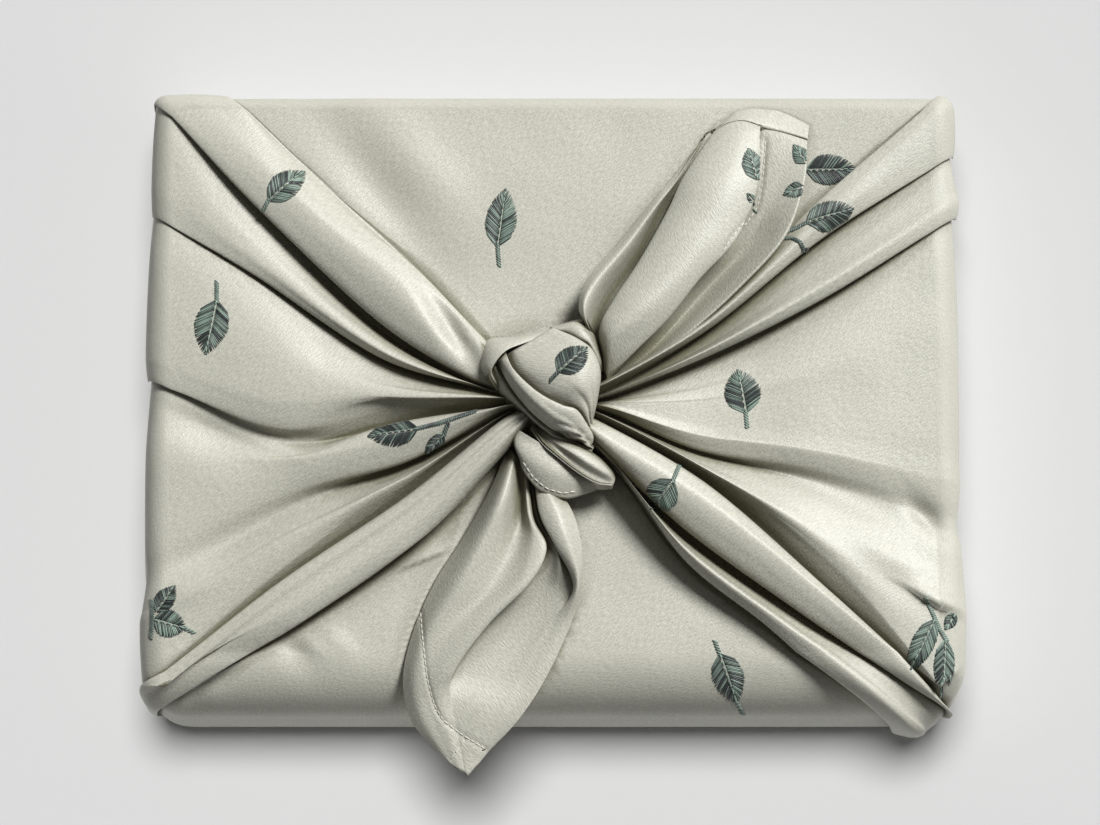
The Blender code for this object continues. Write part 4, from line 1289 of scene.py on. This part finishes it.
class FUROSHIKI_OT_shade_mask(bpy.types.Operator):
    """Marks how deeply each point of the cloth is hidden by the folds around it, for the shade
    painted into its colour
    """

    bl_idname = "furoshiki.tucks"
    bl_label = "Paint shade"

    def execute(self, context):
        meshes = [bpy.data.objects[name].data for name in (*SPANS, *KNOT_PARTS, *TAILS)]
        corners = []
        faces = []
        for mesh in meshes:
            first = len(corners)
            corners += [vertex.co.copy() for vertex in mesh.vertices]
            faces += [[first + index for index in face.vertices] for face in mesh.polygons]
        tree = BVHTree.FromPolygons(corners, faces)
        turns = np.arange(SHADE_RAYS) * 2 * math.pi / SHADE_RAYS
        leans = np.where(np.arange(SHADE_RAYS) % 2, SHADE_LEANS[0], SHADE_LEANS[1])
        out = np.sin(leans)
        rays = np.stack([out * np.cos(turns), out * np.sin(turns), np.cos(leans)])
        for mesh in meshes:
            count = len(mesh.vertices)
            places = np.empty(count * 3, np.float32)
            normals = np.empty(count * 3, np.float32)
            mesh.vertices.foreach_get("co", places)
            mesh.vertices.foreach_get("normal", normals)
            normals = normals.reshape(-1, 3)
            side = np.cross(normals, SHADE_ASIDE)
            side /= np.maximum(np.linalg.norm(side, axis=1, keepdims=True), 1e-6)
            frames = np.stack([side, np.cross(normals, side), normals], axis=1)
            ways = np.einsum("kr,nkc->nrc", rays, frames).tolist()
            starts = (places.reshape(-1, 3) + normals * SHADE_START).tolist()
            tuck = np.zeros(count)
            # How much the folds around the point hide it, which the cloth's colour is darkened by
            # as painted shade.
            for index, (start, fan) in enumerate(zip(starts, ways)):
                for way in fan:
                    distance = tree.ray_cast(start, way, SHADE_REACH)[3]
                    if distance is not None:
                        tuck[index] += 1 - distance / SHADE_REACH
            layer = mesh.attributes.new("tuck", "FLOAT", "POINT")
            layer.data.foreach_set("value", (tuck / SHADE_RAYS).astype(np.float32))
        return {"FINISHED"}


class FUROSHIKI_OT_hem_stitches(bpy.types.Operator):
    """Sews the line of stitches along each hem"""

    bl_idname = "furoshiki.hem_stitches"
    bl_label = "Hem stitches"

    def execute(self, context):
        pitch = context.scene.furoshiki_thread.hem_stitch
        finish = thread("hem_thread", *HEM_COLOURS)
        for seam in SEAMS:
            stitcher = Stitcher(seam.name, Draper(context, seam.cloth))
            line = np.array(seam.points) * MM
            stitch_line(stitcher, line, HEM_RADIUS, HEM_TONE, pitch, HEM_LIFT)
            stitcher.finish(finish)
        return {"FINISHED"}


class FUROSHIKI_OT_stage(bpy.types.Operator):
    """Sets up the floor, the soft light and the camera"""

    bl_idname = "furoshiki.stage"
    bl_label = "Stage"

    def execute(self, context):
        scene = context.scene
        settings = scene.furoshiki_stage
        floor = self.make_floor(settings.floor_colour)
        self.make_camera(scene, settings)
        cloth = [piece for piece in scene.objects if piece.type == "MESH" and piece != floor]
        self.make_light("cloth", settings.cloth_light, cloth)
        self.make_light("floor", settings.floor_light, [floor])
        scene.world = bpy.data.worlds.new("white_surround")
        scene.world.use_nodes = True
        background = scene.world.node_tree.nodes["Background"]
        background.inputs["Color"].default_value = (1.0, 1.0, 1.0, 1.0)
        background.inputs["Strength"].default_value = settings.sky_strength
        scene.view_settings.view_transform = "Standard"
        return {"FINISHED"}

    def make_floor(self, paint):
        """A wide pale floor with a faint grain."""
        shape = bmesh.new()
        bmesh.ops.create_grid(shape, x_segments=1, y_segments=1, size=FLOOR_HALF)
        mesh = bpy.data.meshes.new("floor")
        shape.to_mesh(mesh)
        shape.free()
        floor = linked("floor", mesh)
        nodes = Nodes("pale_floor")
        place = nodes.add("ShaderNodeTexCoord", {}, {}, "Object")
        grain = nodes.noise(place, 900.0, 2.0)
        tint = nodes.mix(grain, colour(paint, 0.99), colour(paint, 1.01))
        mesh.materials.append(nodes.finish(Base_Color=tint, Roughness=0.9))
        return floor

    def make_camera(self, scene, settings):
        """The camera, looking down at the parcel from the front."""
        tilt = settings.camera_tilt
        away = Vector((0, -math.cos(tilt), math.sin(tilt)))
        camera = linked("camera", bpy.data.cameras.new("camera"))
        camera.data.sensor_width = SENSOR
        camera.data.lens = LENS
        camera.location = Vector(CAMERA_TARGET) + away * settings.camera_distance
        camera.rotation_euler = (-away).to_track_quat("-Z", "Y").to_euler()
        scene.camera = camera

    def make_light(self, name, strength, pieces):
        """A soft sun that lights only the given pieces."""
        bearing, height, spread = (math.radians(angle) for angle in LIGHTS[name])
        light = bpy.data.lights.new(name + "_light", "SUN")
        light.energy = strength
        light.angle = spread
        lamp = linked(name + "_light", light)
        lit = bpy.data.collections.new(name + "_pieces")
        for piece in pieces:
            lit.objects.link(piece)
        lamp.light_linking.receiver_collection = lit
        lamp.rotation_euler = (math.pi / 2 - height, 0, math.pi - bearing)


class FUROSHIKI_PT_panel(bpy.types.Panel):
    """Lists the sizes, the colours and the pieces"""

    bl_idname = "FUROSHIKI_PT_panel"
    bl_label = "Furoshiki"
    bl_space_type = "VIEW_3D"
    bl_region_type = "UI"
    bl_category = "Furoshiki"

    def draw(self, context):
        layout = self.layout
        for name in GROUPS:
            group = getattr(context.scene, name)
            box = layout.box()
            for setting in type(group).__annotations__:
                box.prop(group, setting)
        for operator in OPERATORS:
            layout.operator(operator.bl_idname)


GROUPS = {
    "furoshiki_cloth": ClothSettings,
    "furoshiki_thread": ThreadSettings,
    "furoshiki_stage": StageSettings,
}
OPERATORS = (
    FUROSHIKI_OT_wrap,
    FUROSHIKI_OT_knot,
    FUROSHIKI_OT_tails,
    FUROSHIKI_OT_shade_mask,
    FUROSHIKI_OT_hem_stitches,
    FUROSHIKI_OT_leaves,
    FUROSHIKI_OT_stage,
)


def register():
    for name, group in GROUPS.items():
        bpy.utils.register_class(group)
        setattr(bpy.types.Scene, name, bpy.props.PointerProperty(type=group))
    for item in (*OPERATORS, FUROSHIKI_PT_panel):
        bpy.utils.register_class(item)


def unregister():
    for item in (FUROSHIKI_PT_panel, *reversed(OPERATORS)):
        bpy.utils.unregister_class(item)
    for name, group in GROUPS.items():
        delattr(bpy.types.Scene, name)
        bpy.utils.unregister_class(group)


def main():
    register()
    bpy.ops.furoshiki.wrap()
    bpy.ops.furoshiki.knot()
    bpy.ops.furoshiki.tails()
    bpy.ops.furoshiki.tucks()
    bpy.ops.furoshiki.hem_stitches()
    bpy.ops.furoshiki.leaves()
    bpy.ops.furoshiki.stage()


if __name__ == "__main__":
    main()
